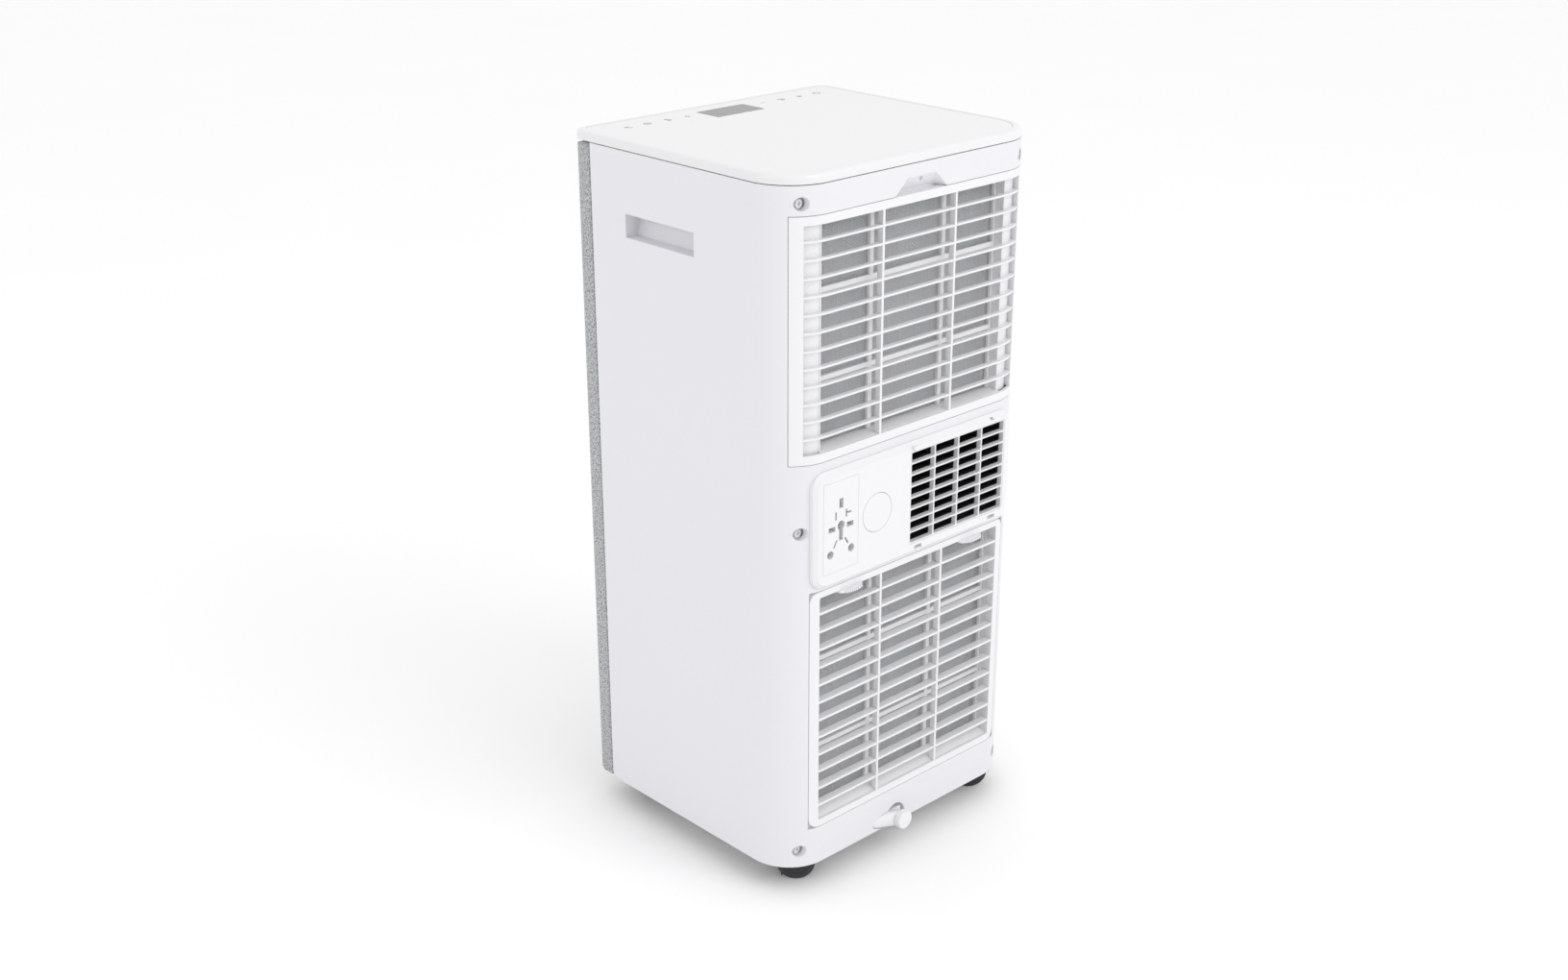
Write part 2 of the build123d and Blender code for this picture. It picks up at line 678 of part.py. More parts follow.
for number, (x, y) in enumerate(caster_places, start=1):
    ahead = Vector(cos(radians(caster_angle)), sin(radians(caster_angle)), 0)
    side_normal = ahead.cross(Vector(0, 0, 1))
    axle_at = Vector(x, y, wheel_radius) + ahead * trail
    mid_plane = Plane(origin=axle_at, x_dir=ahead, z_dir=side_normal)
    with BuildPart() as caster_fork:
        # Hood over the wheels, with a nose that comes down in front of them.
        with BuildSketch(mid_plane):
            Circle(hood_radius)
            with Locations((0, -hood_radius)):
                Rectangle(2 * hood_radius, 2 * hood_radius + 2, mode=Mode.SUBTRACT)
            with BuildLine():
                Polyline(
                    (-hood_radius - 3, 8),
                    (-hood_radius + 1, 0),
                    (-13, -14),
                    (-10, -14),
                    (0, 0),
                    (0, 8),
                    close=True,
                )
            make_face()
        extrude(amount=hood_half, both=True)
        for turn in (1, -1):
            with BuildSketch(mid_plane.offset(turn * web_half)):
                Circle(wheel_radius + hood_clearance)
            extrude(amount=turn * hood_half, mode=Mode.SUBTRACT)
        with BuildSketch(mid_plane):
            Circle(10)
            with Locations((0, 10)):
                Rectangle(20, 20)
        extrude(amount=web_half, both=True)
        with BuildSketch(mid_plane):
            Circle(axle_radius)
        extrude(amount=hood_half - 0.6, both=True)
        # Stem, and the collar that the pan rests on.
        with BuildSketch(level(wheel_radius + 12)):
            with Locations((x, y)):
                Circle(7)
        extrude(amount=pan_z - 0.4 - wheel_radius - 12)
        for turn in (1, -1):
            with BuildSketch(mid_plane.offset(turn * web_half)):
                Circle(wheel_radius + hood_clearance)
                Circle(axle_radius, mode=Mode.SUBTRACT)
            extrude(amount=turn * hood_half, mode=Mode.SUBTRACT)
        with BuildSketch(level(pan_z - 1)):
            with Locations((x, y)):
                Circle(stem_radius)
        extrude(amount=sleeve_top - pan_z)
    caster_fork.part.label = f"caster_fork_{number}"
    export_step(caster_fork.part, f"parts/caster_fork_{number}.step")

    with BuildPart() as caster_wheels:
        for turn in (1, -1):
            with BuildSketch(mid_plane.offset(turn * (web_half + 0.4))):
                Circle(wheel_radius)
            extrude(amount=turn * wheel_width)
        fillet(caster_wheels.edges().filter_by(GeomType.CIRCLE), 1.2)
        for turn in (1, -1):
            with BuildSketch(mid_plane.offset(turn * web_half)):
                Circle(axle_radius + fit)
            extrude(amount=turn * (wheel_width + 2), mode=Mode.SUBTRACT)
    caster_wheels.part.label = f"caster_wheels_{number}"
    export_step(caster_wheels.part, f"parts/caster_wheels_{number}.step")

# ------------------------------------------------------------------ lid
lid_outside = lid_plan(0)
lid_inside = lid_plan(wall)
panel_seat = lid_plan(panel_inset)
panel_shape = lid_plan(panel_inset + 0.3)
panel_thickness = 1.6
display_y = -107.5
display_width = 58.0
display_depth = 31.0

with BuildPart() as top_rim:
    with BuildSketch(level(lid_low)):
        add(lid_outside)
    extrude(amount=lid_high - lid_low)
    fillet(top_rim.faces().sort_by(Axis.Z)[-1].edges(), 4)
    with BuildSketch(level(lid_low)):
        add(lid_inside)
    extrude(amount=3.6, mode=Mode.SUBTRACT)
    with BuildSketch(level(lid_high - panel_thickness - 0.2)):
        add(panel_seat)
    extrude(amount=panel_thickness + 1, mode=Mode.SUBTRACT)
    with BuildSketch(level(lid_low)):
        with Locations((0, display_y)):
            Rectangle(display_width - 6, display_depth - 6)
    extrude(amount=lid_high, mode=Mode.SUBTRACT)
top_rim.part.label = "top_rim"
export_step(top_rim.part, "parts/top_rim.step")

with BuildPart() as top_panel:
    with BuildSketch(level(lid_high - panel_thickness - 0.15)):
        add(panel_shape)
        with Locations((0, display_y)):
            RectangleRounded(display_width + 0.2, display_depth + 0.2, 1, mode=Mode.SUBTRACT)
    extrude(amount=panel_thickness)
top_panel.part.label = "top_panel"
export_step(top_panel.part, "parts/top_panel.step")

with BuildPart() as display_window:
    with BuildSketch(level(lid_high - panel_thickness - 0.15)):
        with Locations((0, display_y)):
            RectangleRounded(display_width, display_depth, 1)
    extrude(amount=panel_thickness + 0.05)
display_window.part.label = "display_window"
export_step(display_window.part, "parts/display_window.step")

with BuildPart() as control_board:
    with BuildSketch(level(lid_low - 6)):
        with Locations((0, display_y)):
            Rectangle(250, 24)
    extrude(amount=1.6)
    with BuildSketch(level(lid_low - 4.4)):
        with Locations((0, display_y)):
            Rectangle(display_width - 8, 22)
    extrude(amount=7)
control_board.part.label = "control_board"
export_step(control_board.part, "parts/control_board.step")

# ------------------------------------------------------------------ front panel
bezel_reach = 9.0
bezel_width = 2 * (outlet_half + bezel_reach)
bezel_height = outlet_high - outlet_low + 2 * bezel_reach
outlet_mid = (outlet_low + outlet_high) / 2
carrier_wall = 2.2
well_radius = 29.0


def front_tray(inset, back):
    """Solid of the front panel set in by inset: a block whose four front edges are rounded."""
    with BuildPart() as tray:
        with BuildSketch(across(back)):
            with Locations((0, (fabric_low + fabric_high) / 2)):
                Rectangle(2 * (fabric_half - inset), fabric_high - fabric_low - 2 * inset)
        extrude(amount=back - fabric_y - inset)
        fillet(tray.faces().sort_by(Axis.Y)[0].edges(), fabric_round - inset)
    return tray.part


tray_outside = front_tray(0, fabric_back)
tray_middle = front_tray(fabric_thickness, fabric_back)
tray_inside = front_tray(fabric_thickness + fit + carrier_wall, fabric_back + 1)
tray_skin = front_tray(fabric_thickness + fit, fabric_back)
well_places = [(side * caster_x, caster_front_y) for side in (1, -1)]

with BuildPart() as front_fabric:
    add(tray_outside)
    add(tray_middle, mode=Mode.SUBTRACT)
    with BuildSketch(across(seam_y)):
        with Locations((0, outlet_mid)):
            RectangleRounded(bezel_width - 4, bezel_height - 4, 8)
    extrude(amount=seam_y - front_y, mode=Mode.SUBTRACT)
    with BuildSketch(level(shell_bottom)):
        with Locations(*well_places):
            Circle(well_radius)
    extrude(amount=pan_z - shell_bottom - 4, mode=Mode.SUBTRACT)
front_fabric.part.label = "front_fabric"
export_step(front_fabric.part, "parts/front_fabric.step")

with BuildPart() as front_carrier:
    add(tray_skin)
    # Tongue that reaches back inside the cabinet and closes the seam.
    with BuildSketch(across(fabric_back + 8)):
        with Locations((0, (pan_z + 14 + fabric_high - 8) / 2)):
            Rectangle(width - 2 * wall - 1, fabric_high - 8 - pan_z - 14)
    extrude(amount=9)
    add(tray_inside, mode=Mode.SUBTRACT)
    with BuildSketch(across(fabric_back + 9)):
        with Locations((0, (pan_z + 14 + fabric_high - 8) / 2)):
            Rectangle(width - 4 * wall - 1, fabric_high - 8 - pan_z - 14 + 2)
    extrude(amount=11, mode=Mode.SUBTRACT)
    with BuildSketch(across(seam_y)):
        with Locations((0, outlet_mid)):
            RectangleRounded(bezel_width - 4, bezel_height - 4, 8)
    extrude(amount=seam_y - front_y, mode=Mode.SUBTRACT)
    with BuildSketch(level(shell_bottom)):
        with Locations(*well_places):
            Circle(well_radius)
    extrude(amount=pan_z - shell_bottom - 4, mode=Mode.SUBTRACT)
front_carrier.part.label = "front_carrier"
export_step(front_carrier.part, "parts/front_carrier.step")

# ------------------------------------------------------------------ air outlet
throat_wall = 2.0
vane_y = -122.0
vane_pin = 1.6
vane_places = [(k - (vane_count - 1) / 2) * 2 * outlet_half / vane_count for k in range(vane_count)]
louvre_axis_y = -141.0
louvre_axis_z = outlet_low + 7
louvre_pin = 2.5
throat_back = -110.0

with BuildPart() as outlet_surround:
    # Bezel over the edge of the fabric.
    with BuildSketch(across(fabric_y - 0.05)):
        with Locations((0, outlet_mid)):
            RectangleRounded(bezel_width, bezel_height, 10)
    extrude(amount=fabric_y - 0.05 - front_y)
    with BuildSketch(across(throat_back)):
        with Locations((0, outlet_mid)):
            Rectangle(2 * (outlet_half + throat_wall), outlet_high - outlet_low + 2 * throat_wall)
    extrude(amount=throat_back - front_y)
    with BuildSketch(across(throat_back + 1)):
        with Locations((0, outlet_mid)):
            Rectangle(2 * outlet_half, outlet_high - outlet_low)
    extrude(amount=throat_back - front_y + 2, mode=Mode.SUBTRACT)
    # Bearings of the louvre, and of each upright vane.
    with BuildSketch(Plane.YZ.offset(-outlet_half - throat_wall - 1)):
        with Locations((louvre_axis_y, louvre_axis_z)):
            Circle(louvre_pin + fit)
    extrude(amount=2 * (outlet_half + throat_wall + 1), mode=Mode.SUBTRACT)
    with BuildSketch(level(outlet_low - throat_wall - 1)):
        for x in vane_places:
            with Locations((x, vane_y)):
                Circle(vane_pin + fit)
    extrude(amount=outlet_high - outlet_low + 2 * throat_wall + 2, mode=Mode.SUBTRACT)
outlet_surround.part.label = "outlet_surround"
export_step(outlet_surround.part, "parts/outlet_surround.step")

with BuildPart() as louvre:
    with BuildSketch(Plane.YZ.offset(-outlet_half + 0.8)):
        with BuildLine():
            flap_face = ThreePointArc(
                (front_y + 4, outlet_low + 1.2),
                (front_y + 0.6, outlet_mid),
                (front_y + 4, outlet_high - 1.2),
            )
            flap_top = Line(flap_face @ 1, (front_y + 6, outlet_high - 1.4))
            flap_back = ThreePointArc(
                flap_top @ 1, (front_y + 3, outlet_mid), (front_y + 6, outlet_low + 1.4)
            )
            Line(flap_back @ 1, flap_face @ 0)
        make_face()
        with Locations((louvre_axis_y, louvre_axis_z)):
            Circle(louvre_pin + 1)
    extrude(amount=2 * outlet_half - 1.6)
    with BuildSketch(Plane.YZ.offset(-outlet_half - throat_wall)):
        with Locations((louvre_axis_y, louvre_axis_z)):
            Circle(louvre_pin)
    extrude(amount=2 * (outlet_half + throat_wall))
louvre.part.label = "louvre"
export_step(louvre.part, "parts/louvre.step")

for number, x in enumerate(vane_places, start=1):
    with BuildPart() as vane:
        with BuildSketch(level(outlet_low + 1)):
            with Locations((x, vane_y)):
                Ellipse(1.2, 10)
                Circle(vane_pin + 0.6)
        extrude(amount=outlet_high - outlet_low - 2)
        with BuildSketch(level(outlet_low - throat_wall)):
            with Locations((x, vane_y)):
                Circle(vane_pin)
        extrude(amount=outlet_high - outlet_low + 2 * throat_wall)
    vane.part.label = f"vane_{number}"
    export_step(vane.part, f"parts/vane_{number}.step")

# ------------------------------------------------------------------ air paths
fan_front = 6.0
fan_depth = 46.0
scroll_wall = 2.0
scroll_gap = 14.0
inlet_radius = 62.0
shaft_radius = 4.0


def fan_scroll(front, back, centre, radius, chute_left, chute_right, chute_low, chute_high):
    """Fan housing: a round casing joined to a straight chute, open in its rear wall at the inlet."""
    cx, cz = centre
    with BuildPart() as scroll:
        with BuildSketch(across(back)) as outline:
            with Locations((cx, cz)):
                Circle(radius)
            with Locations(((chute_left + chute_right) / 2, (chute_low + chute_high) / 2)):
                Rectangle(chute_right - chute_left, chute_high - chute_low)
        extrude(amount=back - front)
        with BuildSketch(across(back - scroll_wall)):
            offset(outline.sketch_local, amount=-scroll_wall)
        extrude(amount=back - front - 2 * scroll_wall, mode=Mode.SUBTRACT)
        with BuildSketch(across(back + 1)):
            with Locations(centre):
                Circle(inlet_radius)
        extrude(amount=scroll_wall + 2, mode=Mode.SUBTRACT)
        with BuildSketch(across(front + scroll_wall + 1)):
            with Locations(centre):
                Circle(shaft_radius + 3)
        extrude(amount=scroll_wall + 2, mode=Mode.SUBTRACT)
    return scroll.part


upper_housing = fan_scroll(0, 58, upper_fan, 96, -outlet_half, outlet_half, 556, 640)
lower_housing = fan_scroll(0, 58, lower_fan, 94, -120, 16, 182, 407)

with BuildPart() as upper_scroll:
    add(upper_housing)
    with BuildSketch(across(scroll_wall + 1)):
        with Locations((0, outlet_mid)):
            Rectangle(2 * outlet_half - 2 * scroll_wall, outlet_high - outlet_low)
    extrude(amount=scroll_wall + 2, mode=Mode.SUBTRACT)
upper_scroll.part.label = "upper_scroll"
export_step(upper_scroll.part, "parts/upper_scroll.step")

with BuildPart() as outlet_duct:
    with BuildSketch(across(-0.1)):
        with Locations((0, outlet_mid)):
            Rectangle(2 * (outlet_half + throat_wall), outlet_high - outlet_low + 2 * throat_wall)
            Rectangle(2 * outlet_half, outlet_high - outlet_low, mode=Mode.SUBTRACT)
    extrude(amount=-0.2 - throat_back)
outlet_duct.part.label = "outlet_duct"
export_step(outlet_duct.part, "parts/outlet_duct.step")

with BuildPart() as lower_scroll:
    add(lower_housing)
    # Chute back to the exhaust grille.
    with BuildSketch(across(rear_y + plate_rise - 0.4 - exhaust_depth - 0.3)):
        with Locations((exhaust_mid_x, exhaust_mid_z)):
            Rectangle(exhaust_width - 1, exhaust_height - 1)
    extrude(amount=rear_y + plate_rise - exhaust_depth - 0.7 - 57)
    with BuildSketch(across(rear_y)):
        with Locations((exhaust_mid_x, exhaust_mid_z)):
            Rectangle(exhaust_width - 1 - 2 * scroll_wall, exhaust_height - 1 - 2 * scroll_wall)
    extrude(amount=rear_y - 50, mode=Mode.SUBTRACT)
lower_scroll.part.label = "lower_scroll"
export_step(lower_scroll.part, "parts/lower_scroll.step")

# ------------------------------------------------------------------ fan wheels and motors
blade_count = 36
blade_length = 14.0
blade_thickness = 1.2
motor_radius = 34.0
motor_length = 38.0

for name, (cx, cz), radius in (
    ("upper", upper_fan, upper_fan_radius),
    ("lower", lower_fan, lower_fan_radius),
):
    with BuildPart() as blower:
        with BuildSketch(across(fan_front + fan_depth)):
            with Locations((cx, cz)):
                with PolarLocations(radius - blade_length / 2 - 1, blade_count):
                    Rectangle(blade_length, blade_thickness, rotation=28)
        extrude(amount=fan_depth)
        with BuildSketch(across(fan_front + fan_depth)):
            with Locations((cx, cz)):
                Circle(radius)
                Circle(radius - 3, mode=Mode.SUBTRACT)
        extrude(amount=3)
        with BuildSketch(across(fan_front + 2)):
            with Locations((cx, cz)):
                Circle(radius)
        extrude(amount=2)
        with BuildSketch(across(fan_front + 18)):
            with Locations((cx, cz)):
                Circle(12)
        extrude(amount=18)
        with BuildSketch(across(fan_front + 18)):
            with Locations((cx, cz)):
                Circle(shaft_radius)
        extrude(amount=fan_front + 18 + 24)
    blower.part.label = f"{name}_blower"
    export_step(blower.part, f"parts/{name}_blower.step")

    with BuildPart() as fan_motor:
        with BuildSketch(across(-0.2)):
            with Locations((cx, cz)):
                Circle(motor_radius)
        extrude(amount=motor_length)
        fillet(fan_motor.edges().filter_by(GeomType.CIRCLE).sort_by(Axis.Y)[0], 8)
        with BuildSketch(across(-0.2)):
            with Locations((cx, cz)):
                with PolarLocations(motor_radius + 3, 3, start_angle=90):
                    Circle(7)
        extrude(amount=3)
        with BuildSketch(across(0)):
            with Locations((cx, cz)):
                Circle(shaft_radius + fit)
        extrude(amount=28, mode=Mode.SUBTRACT)
    fan_motor.part.label = f"{name}_fan_motor"
    export_step(fan_motor.part, f"parts/{name}_fan_motor.step")

# ------------------------------------------------------------------ heat exchangers
coil_back = 104.0
coil_depth = 40.0
coil_half = 118.0
end_plate = 1.2
bend_radius = 9.5
tube_radius = 3.5
bend_rows = 2
bend_pitch = 25.0
first_bend = 16.0

for name, low, high in (("evaporator", 425.5, 632.0), ("condenser", 64.0, 300.0)):
    bend_count = int((high - low) / bend_pitch) - 1
    with BuildPart() as fins:
        with BuildSketch(level(low)):
            with Locations((0, coil_back - coil_depth / 2)):
                Rectangle(2 * coil_half, coil_depth)
        extrude(amount=high - low)
        with BuildSketch(level(low - 0.5)):
            for x in (-coil_half - end_plate / 2, coil_half + end_plate / 2):
                with Locations((x, coil_back - coil_depth / 2)):
                    Rectangle(end_plate, coil_depth + 4)
        extrude(amount=high - low + 1)
    fins.part.label = f"{name}_fins"
    export_step(fins.part, f"parts/{name}_fins.step")

    with BuildPart() as bends:
        for side in (-1, 1):
            face = side * (coil_half + end_plate + 0.1)
            for row in range(bend_rows):
                y = coil_back - coil_depth * (row + 0.5) / bend_rows
                for k in range(bend_count):
                    z = low + first_bend + bend_pitch * k
                    with BuildLine() as bend_path:
                        ThreePointArc(
                            (face, y, z - bend_radius),
                            (face + side * bend_radius, y, z),
                            (face, y, z + bend_radius),
                        )
                    with BuildSketch(Plane(origin=bend_path.line @ 0, z_dir=bend_path.line % 0)):
                        Circle(tube_radius)
                    sweep(path=bend_path.line)
    bends.part.label = f"{name}_bends"
    export_step(bends.part, f"parts/{name}_bends.step")

# ------------------------------------------------------------------ trays and partition
deck_plan = cabinet_plan(inner_inset, seam_y + 9)

with BuildPart() as partition_deck:
    with BuildSketch(level(deck_z)):
        add(deck_plan)
        with Locations((70, -88)):
            Circle(7, mode=Mode.SUBTRACT)
    extrude(amount=2.6)
partition_deck.part.label = "partition_deck"
export_step(partition_deck.part, "parts/partition_deck.step")

with BuildPart() as drip_tray:
    with BuildSketch(level(deck_z + 2.7)):
        with Locations((0, coil_back - coil_depth / 2)):
            Rectangle(2 * 124, coil_depth + 7)
    extrude(amount=13)
    with BuildSketch(level(deck_z + 4.7)):
        with Locations((0, coil_back - coil_depth / 2)):
            Rectangle(2 * 122, coil_depth + 3)
    extrude(amount=12, mode=Mode.SUBTRACT)
drip_tray.part.label = "drip_tray"
export_step(drip_tray.part, "parts/drip_tray.step")

# ------------------------------------------------------------------ compressor and pipes
compressor_at = (92.0, -54.0)
compressor_radius = 50.0
compressor_low = 62.0
compressor_high = 246.0
foot_ring = 58.0
foot_angle = 80.0
accumulator_at = (14.0, -86.0)
accumulator_radius = 18.0
pipe_radius = 4.0

with BuildPart() as compressor:
    with BuildSketch(level(compressor_low)):
        with Locations(compressor_at):
            Circle(compressor_radius)
    extrude(amount=compressor_high - compressor_low)
    fillet(compressor.edges().filter_by(GeomType.CIRCLE), 18)
    with BuildSketch(level(compressor_low)):
        with Locations(compressor_at):
            with PolarLocations(foot_ring / 2, 3, start_angle=foot_angle):
                RectangleRounded(foot_ring, 24, 6)
    extrude(amount=4)
    with BuildSketch(level(compressor_low)):
        with Locations(compressor_at):
            with PolarLocations(foot_ring - 8, 3, start_angle=foot_angle):
                Circle(5)
    extrude(amount=5, mode=Mode.SUBTRACT)
compressor.part.label = "compressor"
export_step(compressor.part, "parts/compressor.step")

with BuildPart() as compressor_grommets:
    with BuildSketch(level(pan_z + pan_plate)):
        with Locations(compressor_at):
            with PolarLocations(foot_ring - 8, 3, start_angle=foot_angle):
                Circle(8)
    extrude(amount=compressor_low - pan_z - pan_plate - 0.05)
    with BuildSketch(level(pan_z + pan_plate)):
        with Locations(compressor_at):
            with PolarLocations(foot_ring - 8, 3, start_angle=foot_angle):
                Circle(4.9)
    extrude(amount=compressor_low - pan_z - pan_plate + 4)
compressor_grommets.part.label = "compressor_grommets"
export_step(compressor_grommets.part, "parts/compressor_grommets.step")

with BuildPart() as accumulator:
    with BuildSketch(level(86)):
        with Locations(accumulator_at):
            Circle(accumulator_radius)
    extrude(amount=134)
    fillet(accumulator.edges().filter_by(GeomType.CIRCLE), 12)
accumulator.part.label = "accumulator"
export_step(accumulator.part, "parts/accumulator.step")


def bent_pipe(points, radius):
    """Pipe with an even bend at each corner of its route."""
    with BuildPart() as pipe:
        with BuildLine() as route:
            FilletPolyline(*points, radius=radius)
        with BuildSketch(Plane(origin=route.line @ 0, z_dir=route.line % 0)):
            Circle(pipe_radius)
        sweep(path=route.line)
    return pipe.part


discharge_route = (
    (92, -54, 246.1),
    (92, -54, 290),
    (140, -30, 290),
    (140, 84, 290),
    (119.3, 84, 290),
)
suction_route = (
    (14, -86, 220.1),
    (14, -86, 262),
    (70, -88, 290),
    (70, -88, 440),
    (138, -60, 440),
    (138, 60, 440),
    (138, 84, 470),
    (138, 84, 612),
    (119.3, 84, 612),
)
pipes = (("discharge_pipe", discharge_route), ("suction_pipe", suction_route))
for name, points in pipes:
    pipe = bent_pipe(points, 12)
    pipe.label = name
    export_step(pipe, f"parts/{name}.step")

# ------------------------------------------------------------------ electrics
with BuildPart() as control_box:
    with BuildSketch(level(deck_z + 2.7)):
        with Locations((-118, -62)):
            Rectangle(54, 88)
    extrude(amount=132)
    with BuildSketch(level(deck_z + 4.3)):
        with Locations((-118, -62)):
            Rectangle(50.8, 84.8)
    extrude(amount=128.8, mode=Mode.SUBTRACT)
control_box.part.label = "control_box"
export_step(control_box.part, "parts/control_box.step")

with BuildPart() as run_capacitor:
    with BuildSketch(level(deck_z + 2.7)):
        with Locations((40, -90)):
            Circle(17)
    extrude(amount=62)
    fillet(run_capacitor.edges().filter_by(GeomType.CIRCLE), 2)
    with BuildSketch(level(deck_z + 64.7)):
        with Locations((34, -90), (46, -90)):
            Rectangle(1, 6)
    extrude(amount=8)
run_capacitor.part.label = "run_capacitor"
export_step(run_capacitor.part, "parts/run_capacitor.step")

with BuildPart() as louvre_motor:
    with BuildSketch(Plane.YZ.offset(outlet_half + throat_wall + 0.2)):
        with Locations((louvre_axis_y + 8, louvre_axis_z)):
            Circle(9.5)
    extrude(amount=14)
    with BuildSketch(Plane.YZ.offset(outlet_half + throat_wall + 0.2)):
        with Locations((louvre_axis_y + 8, louvre_axis_z)):
            Rectangle(6, 30)
    extrude(amount=1.2)
louvre_motor.part.label = "louvre_motor"
export_step(louvre_motor.part, "parts/louvre_motor.step")

# Bush that the mains lead leaves by, low in the far side wall.
with BuildPart() as cable_gland:
    with BuildSketch(Plane.YZ.offset(-half)):
        with Locations((gland_y, gland_z)):
            Circle(gland_radius - fit)
    extrude(amount=wall + 0.1)
    with BuildSketch(Plane.YZ.offset(-half + wall + 0.1)):
        with Locations((gland_y, gland_z)):
            Circle(gland_radius + 2.5)
    extrude(amount=2)
    with BuildSketch(Plane.YZ.offset(-half + wall)):
        with Locations((gland_y, gland_z)):
            Circle(gland_radius - 2)
    extrude(amount=8)
    with BuildSketch(Plane.YZ.offset(-half - 1)):
        with Locations((gland_y, gland_z)):
            Circle(3.8)
    extrude(amount=14, mode=Mode.SUBTRACT)
cable_gland.part.label = "cable_gland"
export_step(cable_gland.part, "parts/cable_gland.step")

# ------------------------------------------------------------------ screws in the rear pockets
head_radius = 3.6
head_height = 2.35
shank_radius = 1.8
shank_length = 3.0
with BuildPart() as cabinet_screws:
    for z in screw_heights:
        with BuildSketch(across(screw_floor_y + fit + head_height)):
            with Locations((screw_x, z), (-screw_x, z)):
                Circle(head_radius)
        extrude(amount=head_height)
        with BuildSketch(across(screw_floor_y + fit)):
            with Locations((screw_x, z), (-screw_x, z)):
                Circle(shank_radius)
        extrude(amount=shank_length)
        for slot_width, slot_height in ((4.4, 0.9), (0.9, 4.4)):
            with BuildSketch(across(screw_floor_y + 3)):
                with Locations((screw_x, z), (-screw_x, z)):
                    Rectangle(slot_width, slot_height)
            extrude(amount=2, mode=Mode.SUBTRACT)
cabinet_screws.part.label = "cabinet_screws"
export_step(cabinet_screws.part, "parts/cabinet_screws.step")
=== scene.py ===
"""Studio looks of a portable air conditioner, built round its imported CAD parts."""
import json
import math

import bmesh
import bpy
import numpy as np
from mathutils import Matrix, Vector


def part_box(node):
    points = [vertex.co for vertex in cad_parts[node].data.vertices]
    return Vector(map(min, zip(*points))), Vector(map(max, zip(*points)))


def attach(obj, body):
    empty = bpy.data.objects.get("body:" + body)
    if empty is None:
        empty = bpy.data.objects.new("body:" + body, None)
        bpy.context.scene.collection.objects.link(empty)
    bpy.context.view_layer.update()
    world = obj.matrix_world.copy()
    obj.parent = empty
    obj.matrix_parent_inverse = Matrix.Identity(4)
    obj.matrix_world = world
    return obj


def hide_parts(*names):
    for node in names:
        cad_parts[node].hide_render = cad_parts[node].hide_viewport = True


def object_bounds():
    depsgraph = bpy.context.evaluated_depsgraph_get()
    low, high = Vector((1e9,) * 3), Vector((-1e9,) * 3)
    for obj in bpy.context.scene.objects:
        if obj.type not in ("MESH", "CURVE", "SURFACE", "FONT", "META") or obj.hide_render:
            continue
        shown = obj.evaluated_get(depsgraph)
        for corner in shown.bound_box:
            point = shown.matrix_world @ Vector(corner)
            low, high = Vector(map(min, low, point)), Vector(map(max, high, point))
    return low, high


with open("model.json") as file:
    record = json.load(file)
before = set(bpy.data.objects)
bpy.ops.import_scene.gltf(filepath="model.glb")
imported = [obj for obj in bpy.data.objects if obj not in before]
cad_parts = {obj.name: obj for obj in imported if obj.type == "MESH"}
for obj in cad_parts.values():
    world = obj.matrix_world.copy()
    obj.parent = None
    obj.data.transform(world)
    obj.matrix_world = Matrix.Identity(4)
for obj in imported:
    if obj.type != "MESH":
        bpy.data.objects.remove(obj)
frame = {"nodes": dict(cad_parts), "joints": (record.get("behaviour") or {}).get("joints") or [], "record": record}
cad_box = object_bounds()
MM = 0.001


# ---------------------------------------------------------------- shader helpers
class Field:
    """An output socket of a material that takes part in Python arithmetic."""

    def __init__(self, paint, socket):
        self.paint = paint
        self.socket = socket

    def maths(self, operation, *values):
        return self.paint.add("Math", {"operation": operation}, dict(enumerate(values)))

    def __add__(self, other):
        return self.maths("ADD", self, other)

    def __sub__(self, other):
        return self.maths("SUBTRACT", self, other)

    def __rsub__(self, other):
        return self.maths("SUBTRACT", other, self)

    def __mul__(self, other):
        return self.maths("MULTIPLY", self, other)

    def __gt__(self, other):
        return self.maths("GREATER_THAN", self, other)

    def __lt__(self, other):
        return self.maths("LESS_THAN", self, other)

    __radd__ = __add__
    __rmul__ = __mul__


